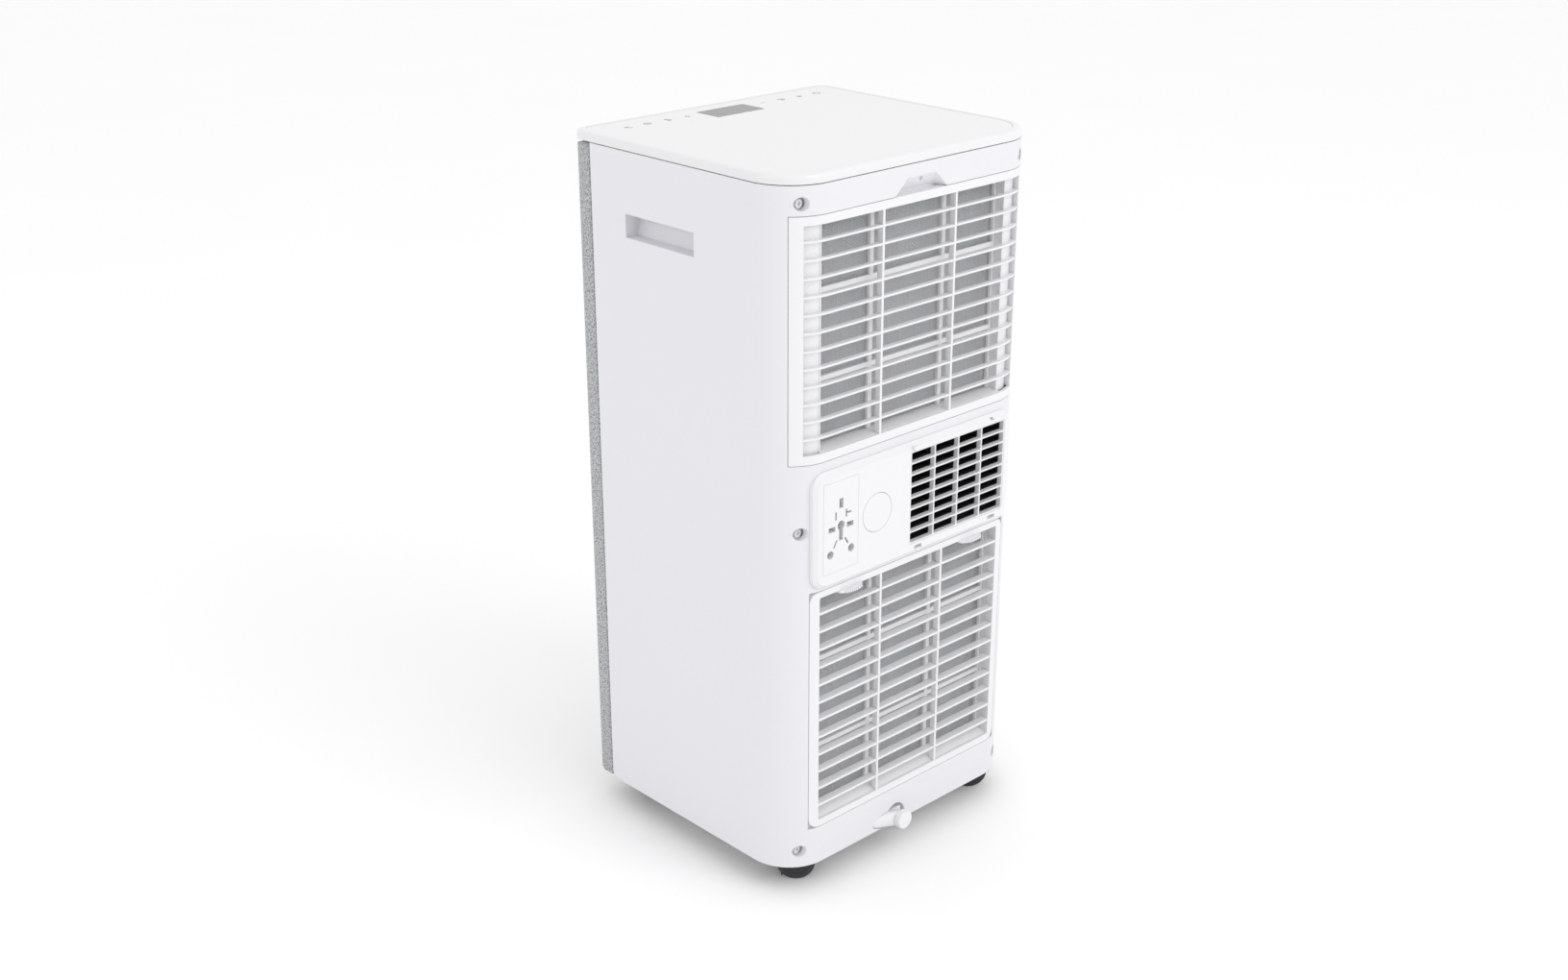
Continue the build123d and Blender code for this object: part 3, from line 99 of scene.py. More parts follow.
class Paint:
    """One procedural material."""

    def __init__(self, name):
        self.material = bpy.data.materials.new(name)
        self.material.use_nodes = True
        self.tree = self.material.node_tree
        self.shader = self.tree.nodes["Principled BSDF"]
        self.place = self.add("TexCoord", out="Object")

    def add(self, kind, settings=None, sockets=None, out=0):
        """Adds a node: its settings first, then what each socket holds. Gives one of its outputs."""
        node = self.tree.nodes.new("ShaderNode" + kind)
        for key, value in (settings or {}).items():
            if key == "stops":
                for element, (position, colour) in zip(node.color_ramp.elements, value):
                    element.position = position
                    element.color = colour
            else:
                setattr(node, key, value)
        for key, value in (sockets or {}).items():
            self.feed(node.inputs[key], value)
        return Field(self, node.outputs[out])

    def feed(self, socket, value):
        if isinstance(value, Field):
            self.tree.links.new(value.socket, socket)
        else:
            socket.default_value = value

    def finish(self, **sockets):
        """Feeds the shader's sockets, named with underscores for spaces."""
        for key, value in sockets.items():
            self.feed(self.shader.inputs[key.replace("_", " ")], value)
        return self.material

    def noise(self, scale, detail=2.0, place=None):
        return self.add("TexNoise", None, {"Vector": place or self.place, "Scale": scale, "Detail": detail})

    def shaded(self, colour, shade):
        """A colour made lighter or darker by a field round 1."""
        colour = colour if isinstance(colour, Field) else colour[:3]
        return self.add("VectorMath", {"operation": "SCALE"}, {0: colour, "Scale": shade})

    def mixed(self, factor, first, second):
        return self.add("Mix", {"data_type": "RGBA"}, {0: factor, 6: first, 7: second}, out=2)

    def stretched(self, scale, place=None, turn=(0.0, 0.0, 0.0)):
        return self.add("Mapping", None, {"Vector": place or self.place, "Scale": scale, "Rotation": turn})

    def bump(self, height, distance, normal=None):
        sockets = {"Height": height, "Distance": distance}
        if normal is not None:
            sockets["Normal"] = normal
        return self.add("Bump", None, sockets)

    def split(self, vector):
        """The X, Y and Z fields of a vector."""
        first = self.add("SeparateXYZ", None, {"Vector": vector})
        outputs = first.socket.node.outputs
        return first, Field(self, outputs[1]), Field(self, outputs[2])


def rgb(red, green=None, blue=None):
    return (red, red if green is None else green, red if blue is None else blue, 1.0)


# ---------------------------------------------------------------- finishes
def moulded(name, colour, roughness, grain=2400.0, relief=0.03, edge=0.5, drift=0.02, coat=0.0):
    """Moulded plastic: spark-eroded grain, a slow drift of shade, and rounded edges that are smoother and carry
    a painted highlight, their colour a little lighter."""
    paint = Paint(name)
    slow = paint.noise(6.0, 3.0)
    fine = paint.noise(grain, 2.0)
    rounded = paint.add("Bevel", {"samples": 4}, {"Radius": edge * MM})
    facing = paint.add("NewGeometry", out="Normal")
    along = paint.add("VectorMath", {"operation": "DOT_PRODUCT"}, {0: rounded, 1: facing}, out="Value")
    # rim: how far a rounded edge turns from the flat face; it lightens the colour there as a painted highlight and
    # lowers the roughness
    rim = (1.0 - along) * 2.0
    shade = 1.0 - drift / 2 + slow * drift + rim * 0.04
    return paint.finish(
        Base_Color=paint.shaded(colour, shade),
        Roughness=roughness + (fine - 0.5) * 0.08 + (slow - 0.5) * 0.06 - rim * 0.05,
        Normal=paint.bump(fine, relief * MM, rounded),
        Coat_Weight=coat,
        Coat_Roughness=0.12,
    )


def metal(name, colour, roughness, metallic=1.0, grain=(60.0, 60.0, 1500.0), stain=0.15):
    """Sheet or drawn metal: fine lines one way, and slow stains that dull it."""
    paint = Paint(name)
    lines = paint.noise(1.0, 3.0, paint.stretched(grain))
    slow = paint.noise(18.0, 4.0)
    return paint.finish(
        Base_Color=paint.shaded(colour, 1.0 - stain / 2 + slow * stain + (lines - 0.5) * 0.08),
        Roughness=roughness + (lines - 0.5) * 0.15 + slow * 0.1,
        Metallic=metallic,
        Normal=paint.bump(lines, 0.02 * MM),
    )


def grille_with_painted_shade(name, colour, depth):
    """Moulded grille whose far part, further in than a depth behind its face, is painted black as the shade deep in
    its cells.
    """
    paint = Paint(name)
    low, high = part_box("exhaust_grille")
    _, along, _ = paint.split(paint.place)
    # painted shade: everything further in than the depth behind the face is coloured black
    inside = along < high.y - depth * MM
    fine = paint.noise(2400.0, 2.0)
    slow = paint.noise(6.0, 3.0)
    return paint.finish(
        Base_Color=paint.shaded(paint.mixed(inside, colour, rgb(0.012)), 0.98 + slow * 0.04),
        Roughness=0.45 + (fine - 0.5) * 0.08,
        Normal=paint.bump(fine, 0.02 * MM),
    )


def printed_board(name):
    """Printed circuit board: tracks in steps under a green lacquer."""
    paint = Paint(name)
    steps = paint.add("TexBrick", None, {
        "Vector": paint.place, "Scale": 180.0, "Color1": rgb(0.02, 0.12, 0.05), "Color2": rgb(0.03, 0.16, 0.07),
        "Mortar": rgb(0.08, 0.30, 0.14), "Mortar Size": 0.06})
    return paint.finish(Base_Color=steps, Roughness=0.35 + paint.noise(300.0) * 0.1)


def smoked_window(name):
    """Smoked display window: glossy grey over a dark ground, with a faint even haze."""
    paint = Paint(name)
    haze = paint.noise(40.0, 4.0)
    return paint.finish(
        Base_Color=paint.shaded(rgb(0.155, 0.157, 0.16), 0.96 + haze * 0.08),
        Roughness=0.22 + haze * 0.06,
        Coat_Weight=0.1,
        Coat_Roughness=0.08,
    )


def melange_cloth(name):
    """Plain weave of flecked yarn on the piece's own flat coordinates, in metres: warp and weft pass over each
    other by turns, and each yarn carries long flecks from near white to charcoal. The colour is darker in the dips
    between the yarns and lighter on their crowns, a painted shade."""
    paint = Paint(name)
    flat = paint.add("UVMap")
    across, up, _ = paint.split(flat)
    yarn = 0.9 * MM
    turn = math.pi / yarn
    warp = (across * turn).maths("SINE", across * turn)
    weft = (up * turn).maths("SINE", up * turn)
    over = warp * weft
    weft_flecks = paint.noise(1.0, 3.0, paint.stretched((380.0, 900.0, 1.0), flat))
    warp_flecks = paint.noise(1.0, 3.0, paint.stretched((900.0, 380.0, 1.0), flat, (0.0, 0.0, 0.3)))
    on_top = over > 0.0
    fleck = weft_flecks * on_top + warp_flecks * (1.0 - on_top)
    tint = paint.add("ValToRGB", {"stops": ((0.40, rgb(0.05, 0.055, 0.065)), (0.53, rgb(0.62, 0.63, 0.645)))},
                     {"Fac": fleck})
    pale = paint.noise(1.0, 2.0, paint.stretched((700.0, 700.0, 1.0), flat)) > 0.60
    thread = over.maths("ABSOLUTE", over)
    # painted shade: the colour darkens in the dips between the yarns and lightens on their crowns, by the weave's
    # height
    return paint.finish(
        Base_Color=paint.shaded(paint.mixed(pale * 0.6, tint, rgb(0.86, 0.86, 0.87)), 0.80 + thread * 0.35),
        Roughness=0.85 + (fleck - 0.5) * 0.1,
        Normal=paint.bump(thread + fleck * 0.6, 0.25 * MM),
        Sheen_Weight=0.25,
        Sheen_Roughness=0.5,
    )


def filter_net(name, colour, pitch, thread):
    """Fine square net on the piece's own flat coordinates: threads of a given width at an even pitch."""
    paint = Paint(name)
    flat = paint.add("UVMap")
    across, up, _ = paint.split(flat)
    turn = math.pi / (pitch * MM)
    gap = math.cos(math.pi * thread / pitch / 2)
    warp = (across * turn).maths("COSINE", across * turn)
    weft = (up * turn).maths("COSINE", up * turn)
    lines = warp.maths("MAXIMUM", warp.maths("ABSOLUTE", warp), weft.maths("ABSOLUTE", weft))
    dust = paint.noise(25.0, 4.0)
    return paint.finish(
        Base_Color=paint.shaded(colour, 0.9 + dust * 0.2),
        Roughness=0.6 + dust * 0.15,
        Alpha=lines > gap,
        Normal=paint.bump(lines, 0.1 * MM),
    )


def caster_wheel(name, centre, axis):
    """Caster wheel seen round its own axle: a rubber tread outside, a grooved hub inside, both by distance from
    the axle."""
    paint = Paint(name)
    from_hub = paint.add("Mapping", None, {"Vector": paint.place, "Location": [-value for value in centre]})
    swing = paint.add("VectorMath", {"operation": "CROSS_PRODUCT"}, {0: from_hub, 1: axis})
    reach = paint.add("VectorMath", {"operation": "LENGTH"}, {0: swing}, out="Value")
    tread = reach > 14.5 * MM
    ring = (reach * 900.0).maths("SINE", reach * 900.0)
    scuff = paint.noise(260.0, 4.0)
    return paint.finish(
        Base_Color=paint.mixed(tread * (0.4 + scuff * 0.5), rgb(0.018, 0.019, 0.02), rgb(0.05, 0.051, 0.053)),
        Roughness=0.42 + tread * 0.3 + scuff * 0.1,
        Normal=paint.bump(ring * (1.0 - tread) + scuff * 0.3, 0.2 * MM),
    )


finishes = {
    "white_shell": moulded("white shell", rgb(0.735, 0.735, 0.765), 0.42, edge=0.6),
    "white_cover": moulded("white covers", rgb(0.775, 0.775, 0.79), 0.40, edge=0.5),
    "white_lid": moulded("white lid", rgb(0.755, 0.757, 0.765), 0.30, relief=0.008, edge=0.6, coat=0.25),
    "white_cap": moulded("white caps and frames", rgb(0.79, 0.79, 0.80), 0.40, edge=0.3),
    "grey_grille": grille_with_painted_shade("exhaust grille", rgb(0.74, 0.745, 0.755), 5.0),
    "grey_fabric": melange_cloth("melange cloth"),
    "grey_net": filter_net("filter net", rgb(0.62, 0.63, 0.645), 1.15, 0.34),
    "display": smoked_window("smoked window"),
    "inner_plastic": moulded("inner plastic", rgb(0.30, 0.305, 0.31), 0.55, grain=900.0),
    "black_plastic": moulded("black plastic", rgb(0.018, 0.019, 0.02), 0.45, grain=1500.0, drift=0.2),
    "black_paint": moulded("black paint", rgb(0.015, 0.015, 0.016), 0.32, grain=400.0, relief=0.05, drift=0.3),
    "zinc_steel": metal("zinc plate", rgb(0.60, 0.60, 0.61), 0.35),
    "fin_aluminium": metal("fin aluminium", rgb(0.84, 0.855, 0.87), 0.42, metallic=0.45),
    "copper": metal("copper tube", rgb(0.72, 0.38, 0.24), 0.30, stain=0.4),
    "circuit_board": printed_board("circuit board"),
    "grey_rubber": moulded("grey rubber", rgb(0.06), 0.75, grain=700.0, drift=0.2),
    "capacitor_can": metal("capacitor can", rgb(0.70, 0.71, 0.72), 0.30),
}
for part in frame["record"]["subparts"]:
    frame["nodes"][part["node"]].data.materials.clear()
    frame["nodes"][part["node"]].data.materials.append(finishes[part["material_slot"]])
frame["nodes"]["cabinet_screws"].data.materials[0] = moulded("painted screws", rgb(0.70), 0.45, edge=0.2)

for joint in frame["joints"]:
    if joint["name"].startswith("caster_roll"):
        wheel = joint["child"]
        low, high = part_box(wheel)
        finish = caster_wheel(wheel.replace("_", " "), (low + high) / 2, joint["axis"])
        frame["nodes"][wheel].data.materials[0] = finish


# ---------------------------------------------------------------- mesh helpers
def piece(name, points, faces, finish, body, flat=None, thickness=None, smooth=True):
    """A new piece from arrays of points and faces. flat gives each point its flat coordinates."""
    mesh = bpy.data.meshes.new(name)
    mesh.from_pydata(points.reshape(-1, 3), [], faces.reshape(-1, faces.shape[-1]))
    mesh.polygons.foreach_set("use_smooth", np.full(len(mesh.polygons), smooth))
    if flat is not None:
        corners = np.empty(len(mesh.loops), np.int32)
        mesh.loops.foreach_get("vertex_index", corners)
        layer = mesh.uv_layers.new(name="flat")
        layer.data.foreach_set("uv", flat.reshape(-1, 2)[corners].astype(np.float32).ravel())
    mesh.materials.append(finish)
    mesh.update()
    made = bpy.data.objects.new(name, mesh)
    bpy.context.scene.collection.objects.link(made)
    if thickness:
        wall = made.modifiers.new("thickness", "SOLIDIFY")
        wall.thickness = thickness * MM
        wall.offset = -1.0
    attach(made, body)
    return made


def grid(rows, columns, closed=False):
    """Corner numbers of the quads of a grid of points; a closed grid joins its last column to its first."""
    row, column = np.meshgrid(np.arange(rows - 1), np.arange(columns if closed else columns - 1), indexing="ij")
    beside = (column + 1) % columns
    return np.stack([row * columns + column, row * columns + beside,
                     (row + 1) * columns + beside, (row + 1) * columns + column], axis=-1)


def seal(made):
    """Closes the open ends of a piece and turns its faces outwards."""
    mesh = bmesh.new()
    mesh.from_mesh(made.data)
    bmesh.ops.holes_fill(mesh, edges=[edge for edge in mesh.edges if edge.is_boundary])
    bmesh.ops.recalc_face_normals(mesh, faces=mesh.faces)
    mesh.to_mesh(made.data)
    mesh.free()


# ---------------------------------------------------------------- front cloth
def front_cloth():
    """Cloth over the front panel, as rings that grow out of the air outlet. A ring is a rectangle, and the corner
    numbers run round it from 0 to 4. Inside the flat face a ring lies between the outlet's edge and the flat's
    edge; beyond it the ring follows a quarter round and then runs straight back, and over the caster wells it
    stops at the well's circle."""
    low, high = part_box("front_fabric")
    bezel_low, bezel_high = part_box("outlet_surround")
    round_edge = 14.0 * MM
    tuck = high.y - low.y - round_edge
    quarter = round_edge * math.pi / 2
    middle = (low.z + high.z) / 2
    half_width = high.x - round_edge
    half_height = (high.z - low.z) / 2 - round_edge
    hole_lip = 6.0 * MM
    hole_half_width = bezel_high.x - hole_lip
    hole_half_height = (bezel_high.z - bezel_low.z) / 2 - hole_lip
    hole_middle = (bezel_low.z + bezel_high.z) / 2

    per_side = 110
    around = np.arange(4 * per_side) / per_side
    side = around.astype(int)
    share = 2 * (around - side) - 1
    sides = [side == 0, side == 1, side == 2]
    ones = np.ones_like(share)
    unit_x = np.select(sides, [share, ones, -share], -1.0)
    unit_z = np.select(sides, [-ones, share, ones], -share)

    inward = np.linspace(0, 1, 20)[:, None]
    face_x = unit_x * (hole_half_width + (half_width - hole_half_width) * inward)
    face_z = hole_middle + (middle - hole_middle) * inward
    face_z = face_z + unit_z * (hole_half_height + (half_height - hole_half_height) * inward)
    face_y = np.full_like(face_x, low.y)

    sleeves_low, sleeves_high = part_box("caster_sleeves")
    sleeve_radius = 6.5 * MM
    well_x, well_y = sleeves_high.x - sleeve_radius, sleeves_low.y + sleeve_radius
    well_radius = 29.2 * MM
    bottom_x = np.abs(unit_x * (half_width + round_edge))
    reach = well_radius ** 2 - (bottom_x - well_x) ** 2
    well_edge = np.where(reach > 0, well_y - np.sqrt(np.maximum(reach, 0)), high.y)
    last_y = np.where(side == 0, np.minimum(well_edge, high.y), high.y)
    turned = np.arccos(np.clip(1 - (last_y - low.y) / round_edge, 0, 1)) * round_edge
    last = np.where(last_y < low.y + round_edge, turned, quarter + last_y - low.y - round_edge)
    along = np.linspace(0, 1, 16)[1:, None] * last
    angle = np.minimum(along, quarter) / round_edge
    grow = round_edge * np.sin(angle)
    wrap_x = unit_x * (half_width + grow)
    wrap_z = middle + unit_z * (half_height + grow)
    wrap_y = low.y + round_edge * (1 - np.cos(angle)) + np.maximum(along - quarter, 0)

    points = np.stack([np.vstack([face_x, wrap_x]), np.vstack([face_y, wrap_y]), np.vstack([face_z, wrap_z])], -1)
    flat_x = np.vstack([face_x, unit_x * (half_width + along)])
    flat_z = np.vstack([face_z, middle + unit_z * (half_height + along)])
    wrap = quarter + tuck
    width, length = 2 * (half_width + wrap), 2 * (half_height + wrap)
    mitres = 4 * wrap * (wrap - round_edge)
    hole = 4 * hole_half_width * hole_half_height
    cloth = piece("front_cloth", points, grid(*points.shape[:2], closed=True)[..., ::-1],
                  finishes["grey_fabric"], "cabinet", np.stack([flat_x, flat_z], -1), thickness=0.9)
    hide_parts("front_fabric")
    width * length - hole - mitres


# ---------------------------------------------------------------- filter nets
def net(node, body):
    """Net stretched in a filter frame: a flat grid that gives a little between the frame's bars, by a fifth of a
    millimetre at most, as a product of two sine waves."""
    low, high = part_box(node)
    steps, windows, most = 49, 3, 0.2 * MM
    share_x, share_z = np.meshgrid(np.linspace(0, 1, steps), np.linspace(0, 1, steps), indexing="xy")
    x = low.x + (high.x - low.x) * share_x
    z = low.z + (high.z - low.z) * share_z
    give = most * np.abs(np.sin(windows * math.pi * share_x) * np.sin(windows * math.pi * share_z))
    y = (low.y + high.y) / 2 - give + most / 2
    made = piece(node + "_cloth", np.stack([x, y, z], -1)[:, ::-1], grid(steps, steps), finishes["grey_net"],
                 body, np.stack([x, z], -1)[:, ::-1])
    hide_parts(node)


# ---------------------------------------------------------------- closing walls of the upper cover
def closing_walls():
    """Walls that close the upper cover towards the cabinet: a sill from the foot of the aperture in to the filter
    frame, and an upright wall at the end of the pockets on each side. A wall is a four-cornered section in two of
    the directions, drawn straight along the third."""
    low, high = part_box("upper_cover")
    frame_low, frame_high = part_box("upper_filter_frame")
    border, pocket, lap = 3.0 * MM, 5.5 * MM, 0.4 * MM
    aperture_low, aperture_high = low.z + 8.0 * MM, high.z - 7.7 * MM
    sill_front, sill_rear = frame_high.y + 0.3 * MM, high.y - border + lap
    section = np.array([(sill_front, frame_low.z + 2.0 * MM), (sill_rear, aperture_low - 0.6 * MM),
                        (sill_rear, aperture_low + 0.2 * MM), (sill_front, frame_low.z + 3.0 * MM)])
    ends = np.array([frame_low.x, frame_high.x])
    along_x = np.stack([np.repeat(ends, 4), np.tile(section[:, 0], 2), np.tile(section[:, 1], 2)], -1)

    radius = 44.0 * MM
    corner_x, corner_y = cad_box[1][0] - radius, high.y - radius
    wall_x = np.array([133.2, 134.2]) * MM
    outer = corner_y + np.sqrt((radius - border + lap) ** 2 - (wall_x - corner_x) ** 2)
    inner = corner_y + np.sqrt((radius - pocket) ** 2 - (wall_x - corner_x) ** 2)
    plan = np.column_stack([np.concatenate([wall_x, wall_x[::-1]]), np.concatenate([inner, outer[::-1]])])
    heights = np.repeat([aperture_low, aperture_high], 4)
    walls = [along_x]
    for side in (-1, 1):
        walls.append(np.column_stack([np.tile(plan[::side] * (side, 1), (2, 1)), heights]))
    each = np.array([(0, 3, 2, 1), (4, 5, 6, 7), (0, 1, 5, 4), (1, 2, 6, 5), (2, 3, 7, 6), (3, 0, 4, 7)])
    faces = each[None] + (8 * np.arange(len(walls)))[:, None, None]
    made = piece("upper_cover_walls", np.concatenate(walls), faces, finishes["white_cover"], "upper_cover",
                 smooth=False)
    edges = made.modifiers.new("rounded edges", "BEVEL")
    edges.width = 0.15 * MM
    edges.segments = 2
    seal(made)


# ---------------------------------------------------------------- heat exchangers
def fin_stack(name, node, pitch=1.9, ripples=3):
    """Fins and end plates of a heat exchanger: upright plates side by side. A plate's plan is a ribbon that
    bends to and fro as a sine of its depth, with a thickness of its own, drawn up to the plate's height."""
    low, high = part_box(node)
    step_in = 2 * MM
    depth_low, depth_high = low.y + step_in, high.y - step_in
    end, step_down, half_fin, wave = 1.2 * MM, 0.5 * MM, 0.07 * MM, 0.35 * MM
    count = int((high.x - low.x - 2 * end) / (pitch * MM)) - 1
    middles = (np.arange(count) - (count - 1) / 2) * pitch * MM
    middles = np.concatenate([middles, [low.x + end / 2, high.x - end / 2]])
    is_end = np.arange(len(middles)) >= count
    halves = np.where(is_end, end / 2, half_fin)
    bottoms = np.where(is_end, low.z, low.z + step_down)
    tops = np.where(is_end, high.z, high.z - step_down)
    fronts = np.where(is_end, low.y, depth_low)
    backs = np.where(is_end, high.y, depth_high)
    steps = 12
    share = np.linspace(0, 1, steps + 1)
    bend = np.where(is_end, 0.0, wave)[:, None] * np.sin(2 * math.pi * ripples * share)
    centre = middles[:, None] + bend
    depth = fronts[:, None] + (backs - fronts)[:, None] * share
    loop_x = np.concatenate([centre + halves[:, None], (centre - halves[:, None])[:, ::-1]], axis=1)
    loop_y = np.concatenate([depth, depth[:, ::-1]], axis=1)
    around = loop_x.shape[1]
    rings = [np.stack([loop_x, loop_y, np.broadcast_to(z[:, None], loop_x.shape)], -1) for z in (bottoms, tops)]
    points = np.stack(rings, axis=1)
    walls = grid(2, around, closed=True)[0]
    right = np.arange(steps)
    top_caps = np.stack([right, right + 1, around - 2 - right, around - 1 - right], -1) + around
    low_caps = (top_caps - around)[:, ::-1]
    each = np.concatenate([walls, top_caps, low_caps])
    faces = each[None] + (np.arange(len(middles)) * 2 * around)[:, None, None]
    made = piece(name, points, faces, finishes["fin_aluminium"], "cabinet", smooth=False)
    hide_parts(node)


def coil_tubes(name, node, first, rise, count):
    """Copper tubes that run through the fins in two rows: each is a circle drawn across the whole stack."""
    low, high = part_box(node)
    radius = 3.5 * MM
    turn = np.linspace(0, 2 * math.pi, 16, endpoint=False)
    heights = low.z + 0.5 * MM + (first + rise * np.arange(count)) * MM
    depth = high.y - low.y - 4 * MM
    rows = high.y - 2 * MM - depth * np.array([0.25, 0.75])
    centre_z, centre_y = np.meshgrid(heights, rows, indexing="ij")
    centre_z, centre_y = centre_z.ravel(), centre_y.ravel()
    across = np.array([low.x + 1 * MM, high.x - 1 * MM])
    shape = (len(centre_z), 2, len(turn))
    x = np.broadcast_to(across[None, :, None], shape)
    y = np.broadcast_to((centre_y[:, None] + radius * np.cos(turn))[:, None], shape)
    z = np.broadcast_to((centre_z[:, None] + radius * np.sin(turn))[:, None], shape)
    faces = grid(2, len(turn), closed=True)[0][:, ::-1][None] + (np.arange(shape[0]) * 2 * len(turn))[:, None, None]
    made = piece(name, np.stack([x, y, z], -1), faces, finishes["copper"], "cabinet")
    seal(made)


# ---------------------------------------------------------------- touch marks on the lid
ARC, LINE = "arc", "line"
marks = (
    (-117.0, ((ARC, 0, 0, 3.6, 125, 415), (LINE, 0, 1.2, 0, 4.4))),
    (-94.0, ((LINE, -3, 0, 3, 0), (LINE, -1.5, -2.6, 1.5, 2.6), (LINE, -1.5, 2.6, 1.5, -2.6))),
    (-70.5, ((ARC, 0, 1.8, 1.8, -90, 150), (ARC, -1.6, -0.9, 1.8, 30, 270), (ARC, 1.6, -0.9, 1.8, 150, 390))),
    (-47.0, ((LINE, -2.8, 0, 2.8, 0),)),
    (47.0, ((LINE, -2.8, 0, 2.8, 0), (LINE, 0, -2.8, 0, 2.8))),
    (70.5, ((ARC, 0, 0, 3.2, 60, 300), (ARC, 2.2, 0, 2.75, 92, 268))),
    (94.0, ((ARC, 0, 0, 3.2, 0, 360), (LINE, 0, 0, 0, 2.2), (LINE, 0, 0, 1.6, 0))),
    (117.0, ((ARC, -1.6, 2.2, 1.6, 0, 180), (ARC, 1.6, 2.2, 1.6, 180, 360), (LINE, -3, -1, 3, -1))),
)


def stroke(kind, a, b, c, d, e=0.0):
    """Middle line of a stroke in millimetres: an arc from angle d to angle e about (a, b) with radius c, or a
    straight line from (a, b) to (c, d)."""
    if kind == ARC:
        turn = np.radians(np.linspace(d, e, 33))
        return np.stack([a + c * np.cos(turn), b + c * np.sin(turn)], -1)
    return np.linspace((a, b), (c, d), 3)


def touch_marks():
    """Printed touch marks: each stroke is a ribbon, its middle line moved to both sides along its normal."""
    _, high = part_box("top_panel")
    low_window, high_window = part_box("display_window")
    row_offset, height = 6.5 * MM, 0.06 * MM
    depth = (low_window.y + high_window.y) / 2 - row_offset
    half_line = 0.36
    points, faces, total = [], [], 0
    for place, strokes in marks:
        for kind, *numbers in strokes:
            line = stroke(kind, *numbers)
            ahead = np.gradient(line, axis=0)
            ahead /= np.linalg.norm(ahead, axis=1, keepdims=True)
            aside = np.stack([-ahead[:, 1], ahead[:, 0]], -1) * half_line
            ribbon = np.stack([line + aside, line - aside]) + (place, 0.0)
            points.append(ribbon.reshape(-1, 2))
            faces.append(grid(2, len(line)).reshape(-1, 4)[:, ::-1] + total)
            total += 2 * len(line)
    flat = np.concatenate(points) * MM + (0.0, depth)
    raised = np.column_stack([flat, np.full(len(flat), high.z + height)])
    piece("touch_marks", raised, np.concatenate(faces), touch_ink(), "cabinet", thickness=0.05)


def groove_shadow_strip():
    """Dark grey strip in the gap between the lid's rim and its panel, a painted shadow for the groove there: the
    panel's outline, a rectangle with four quarter rounds, moved out by two distances and drawn at two heights."""
    low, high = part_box("top_panel")
    front_round, rear_round = 7.7 * MM, 35.7 * MM
    turn = np.linspace(0, math.pi / 2, 24)
    rings = []
    for grow, height in ((0.02, -0.9), (0.28, -0.9), (0.28, -0.08), (0.02, -0.08)):
        outline = []
        for start, side_x, side_y, bend in (
            (0.0, high.x, high.y, rear_round), (0.5, low.x, high.y, rear_round),
            (1.0, low.x, low.y, front_round), (1.5, high.x, low.y, front_round),
        ):
            angle = turn + start * math.pi
            centre_x = side_x - math.copysign(bend, side_x)
            centre_y = side_y - math.copysign(bend, side_y)
            outline.append(np.stack([centre_x + (bend + grow * MM) * np.cos(angle),
                                     centre_y + (bend + grow * MM) * np.sin(angle),
                                     np.full_like(angle, high.z + height * MM)], -1))
        rings.append(np.concatenate(outline))
    points = np.stack(rings)
    faces = grid(5, points.shape[1], closed=True) % (4 * points.shape[1])
    # painted shadow: a dark grey strip put in the groove between the lid's rim and its panel
    piece("groove_shadow_strip", points, faces, groove_shadow_grey(), "cabinet")


def groove_shadow_grey():
    """Dark grey for the painted shadow in the lid's groove, a little uneven."""
    paint = Paint("groove shadow grey")
    patchy = paint.noise(120.0, 3.0)
    # painted shadow: flat dark grey, a little uneven
    return paint.finish(Base_Color=paint.shaded(rgb(0.20, 0.202, 0.205), 0.9 + patchy * 0.2), Roughness=0.7)


def touch_ink():
    """Grey pad-printed ink, a little uneven."""
    paint = Paint("touch ink")
    patchy = paint.noise(900.0, 3.0)
    return paint.finish(Base_Color=paint.shaded(rgb(0.07, 0.072, 0.075), 0.85 + patchy * 0.3), Roughness=0.5)


front_cloth()
net("upper_filter_net", "upper_cover")
net("lower_filter_net", "lower_cover")
closing_walls()
low_tube, high_tube, tube_rise = 6.5, 25.5, 25.0
for coil in ("evaporator", "condenser"):
    fins = coil + "_fins"
    fin_stack(coil + "_fin_stack", fins)
    low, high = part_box(fins)
    pairs = int((high.z - low.z - 1 * MM) / (tube_rise * MM)) - 1
    coil_tubes(coil + "_tubes_low", fins, low_tube, tube_rise, pairs)
    coil_tubes(coil + "_tubes_high", fins, high_tube, tube_rise, pairs)
touch_marks()
groove_shadow_strip()


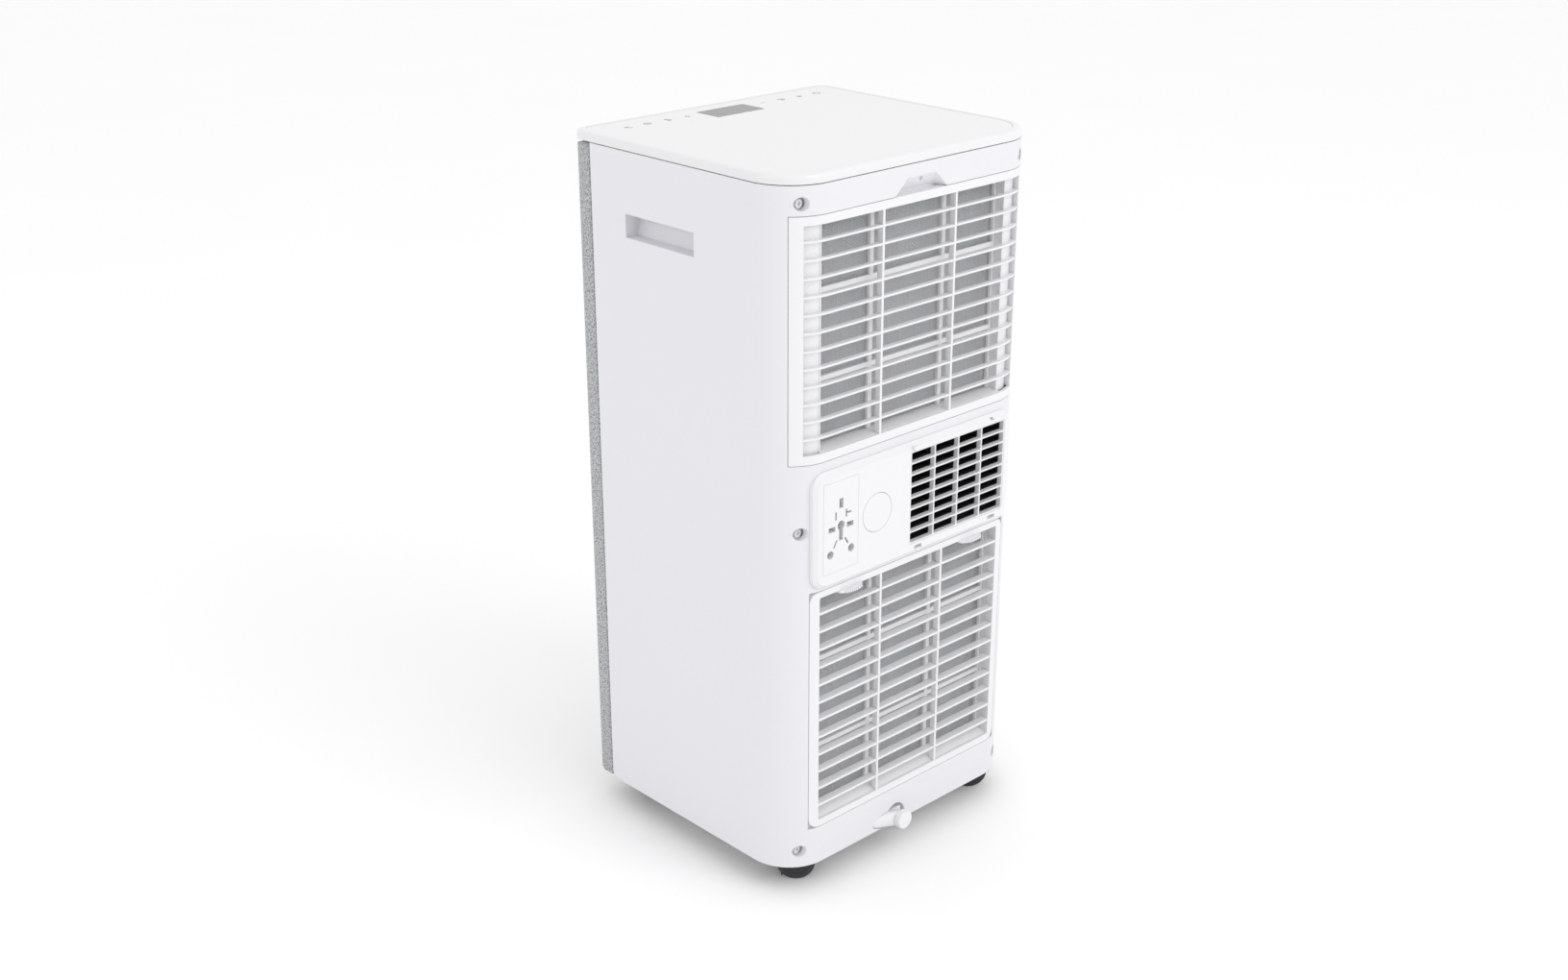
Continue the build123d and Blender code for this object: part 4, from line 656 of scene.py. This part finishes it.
# ---------------------------------------------------------------- studio
def floor():
    """Pale floor, far wider than the machine."""
    paint = Paint("studio floor")
    return paint.finish(Base_Color=paint.shaded(rgb(0.965), 0.99 + paint.noise(3.0) * 0.02), Roughness=0.7)


def studio():
    """White surroundings, a large soft light over the machine's rear corner, and a weak one from the side."""
    reach = 12.0
    mesh = bpy.data.meshes.new("studio_floor")
    turn = np.linspace(0, 2 * math.pi, 64, endpoint=False)
    rim = np.stack([reach * np.cos(turn), reach * np.sin(turn), np.zeros(64)], -1)
    mesh.from_pydata(rim, [], [list(range(64))])
    mesh.materials.append(floor())
    ground = bpy.data.objects.new("studio_floor", mesh)
    bpy.context.scene.collection.objects.link(ground)

    world = bpy.data.worlds.new("studio")
    bpy.context.scene.world = world
    world.use_nodes = True
    sky = world.node_tree.nodes["Background"]
    sky.inputs["Color"].default_value = rgb(1.0)
    sky.inputs["Strength"].default_value = 1.0

    aim = Vector((0.0, 0.0, 0.34))
    for name, place, size, power in (
        ("soft_key", (-0.5, 2.2, 2.0), 1.8, 16.0),
        ("side_fill", (2.6, -0.4, 1.6), 1.6, 4.0),
    ):
        lamp = bpy.data.lights.new(name, "AREA")
        lamp.shape = "DISK"
        lamp.size = size
        lamp.energy = power
        light = bpy.data.objects.new(name, lamp)
        light.location = place
        light.rotation_euler = (aim - Vector(place)).to_track_quat("-Z", "Y").to_euler()
        bpy.context.scene.collection.objects.link(light)


def camera():
    """Camera over the machine's rear left corner, looking down on it."""
    yaw, pitch = math.radians(43.49), math.radians(22.13)
    lens = bpy.data.cameras.new("camera")
    lens.sensor_width = 36.0
    lens.lens = 44.56
    seen = bpy.data.objects.new("camera", lens)
    seen.location = (1.1938, 1.2224, 1.0202)
    ahead = Vector((-math.sin(yaw) * math.cos(pitch), -math.cos(yaw) * math.cos(pitch), -math.sin(pitch)))
    seen.rotation_euler = ahead.to_track_quat("-Z", "Y").to_euler()
    bpy.context.scene.collection.objects.link(seen)
    bpy.context.scene.camera = seen


studio()
camera()
bpy.context.scene.view_settings.view_transform = "Standard"
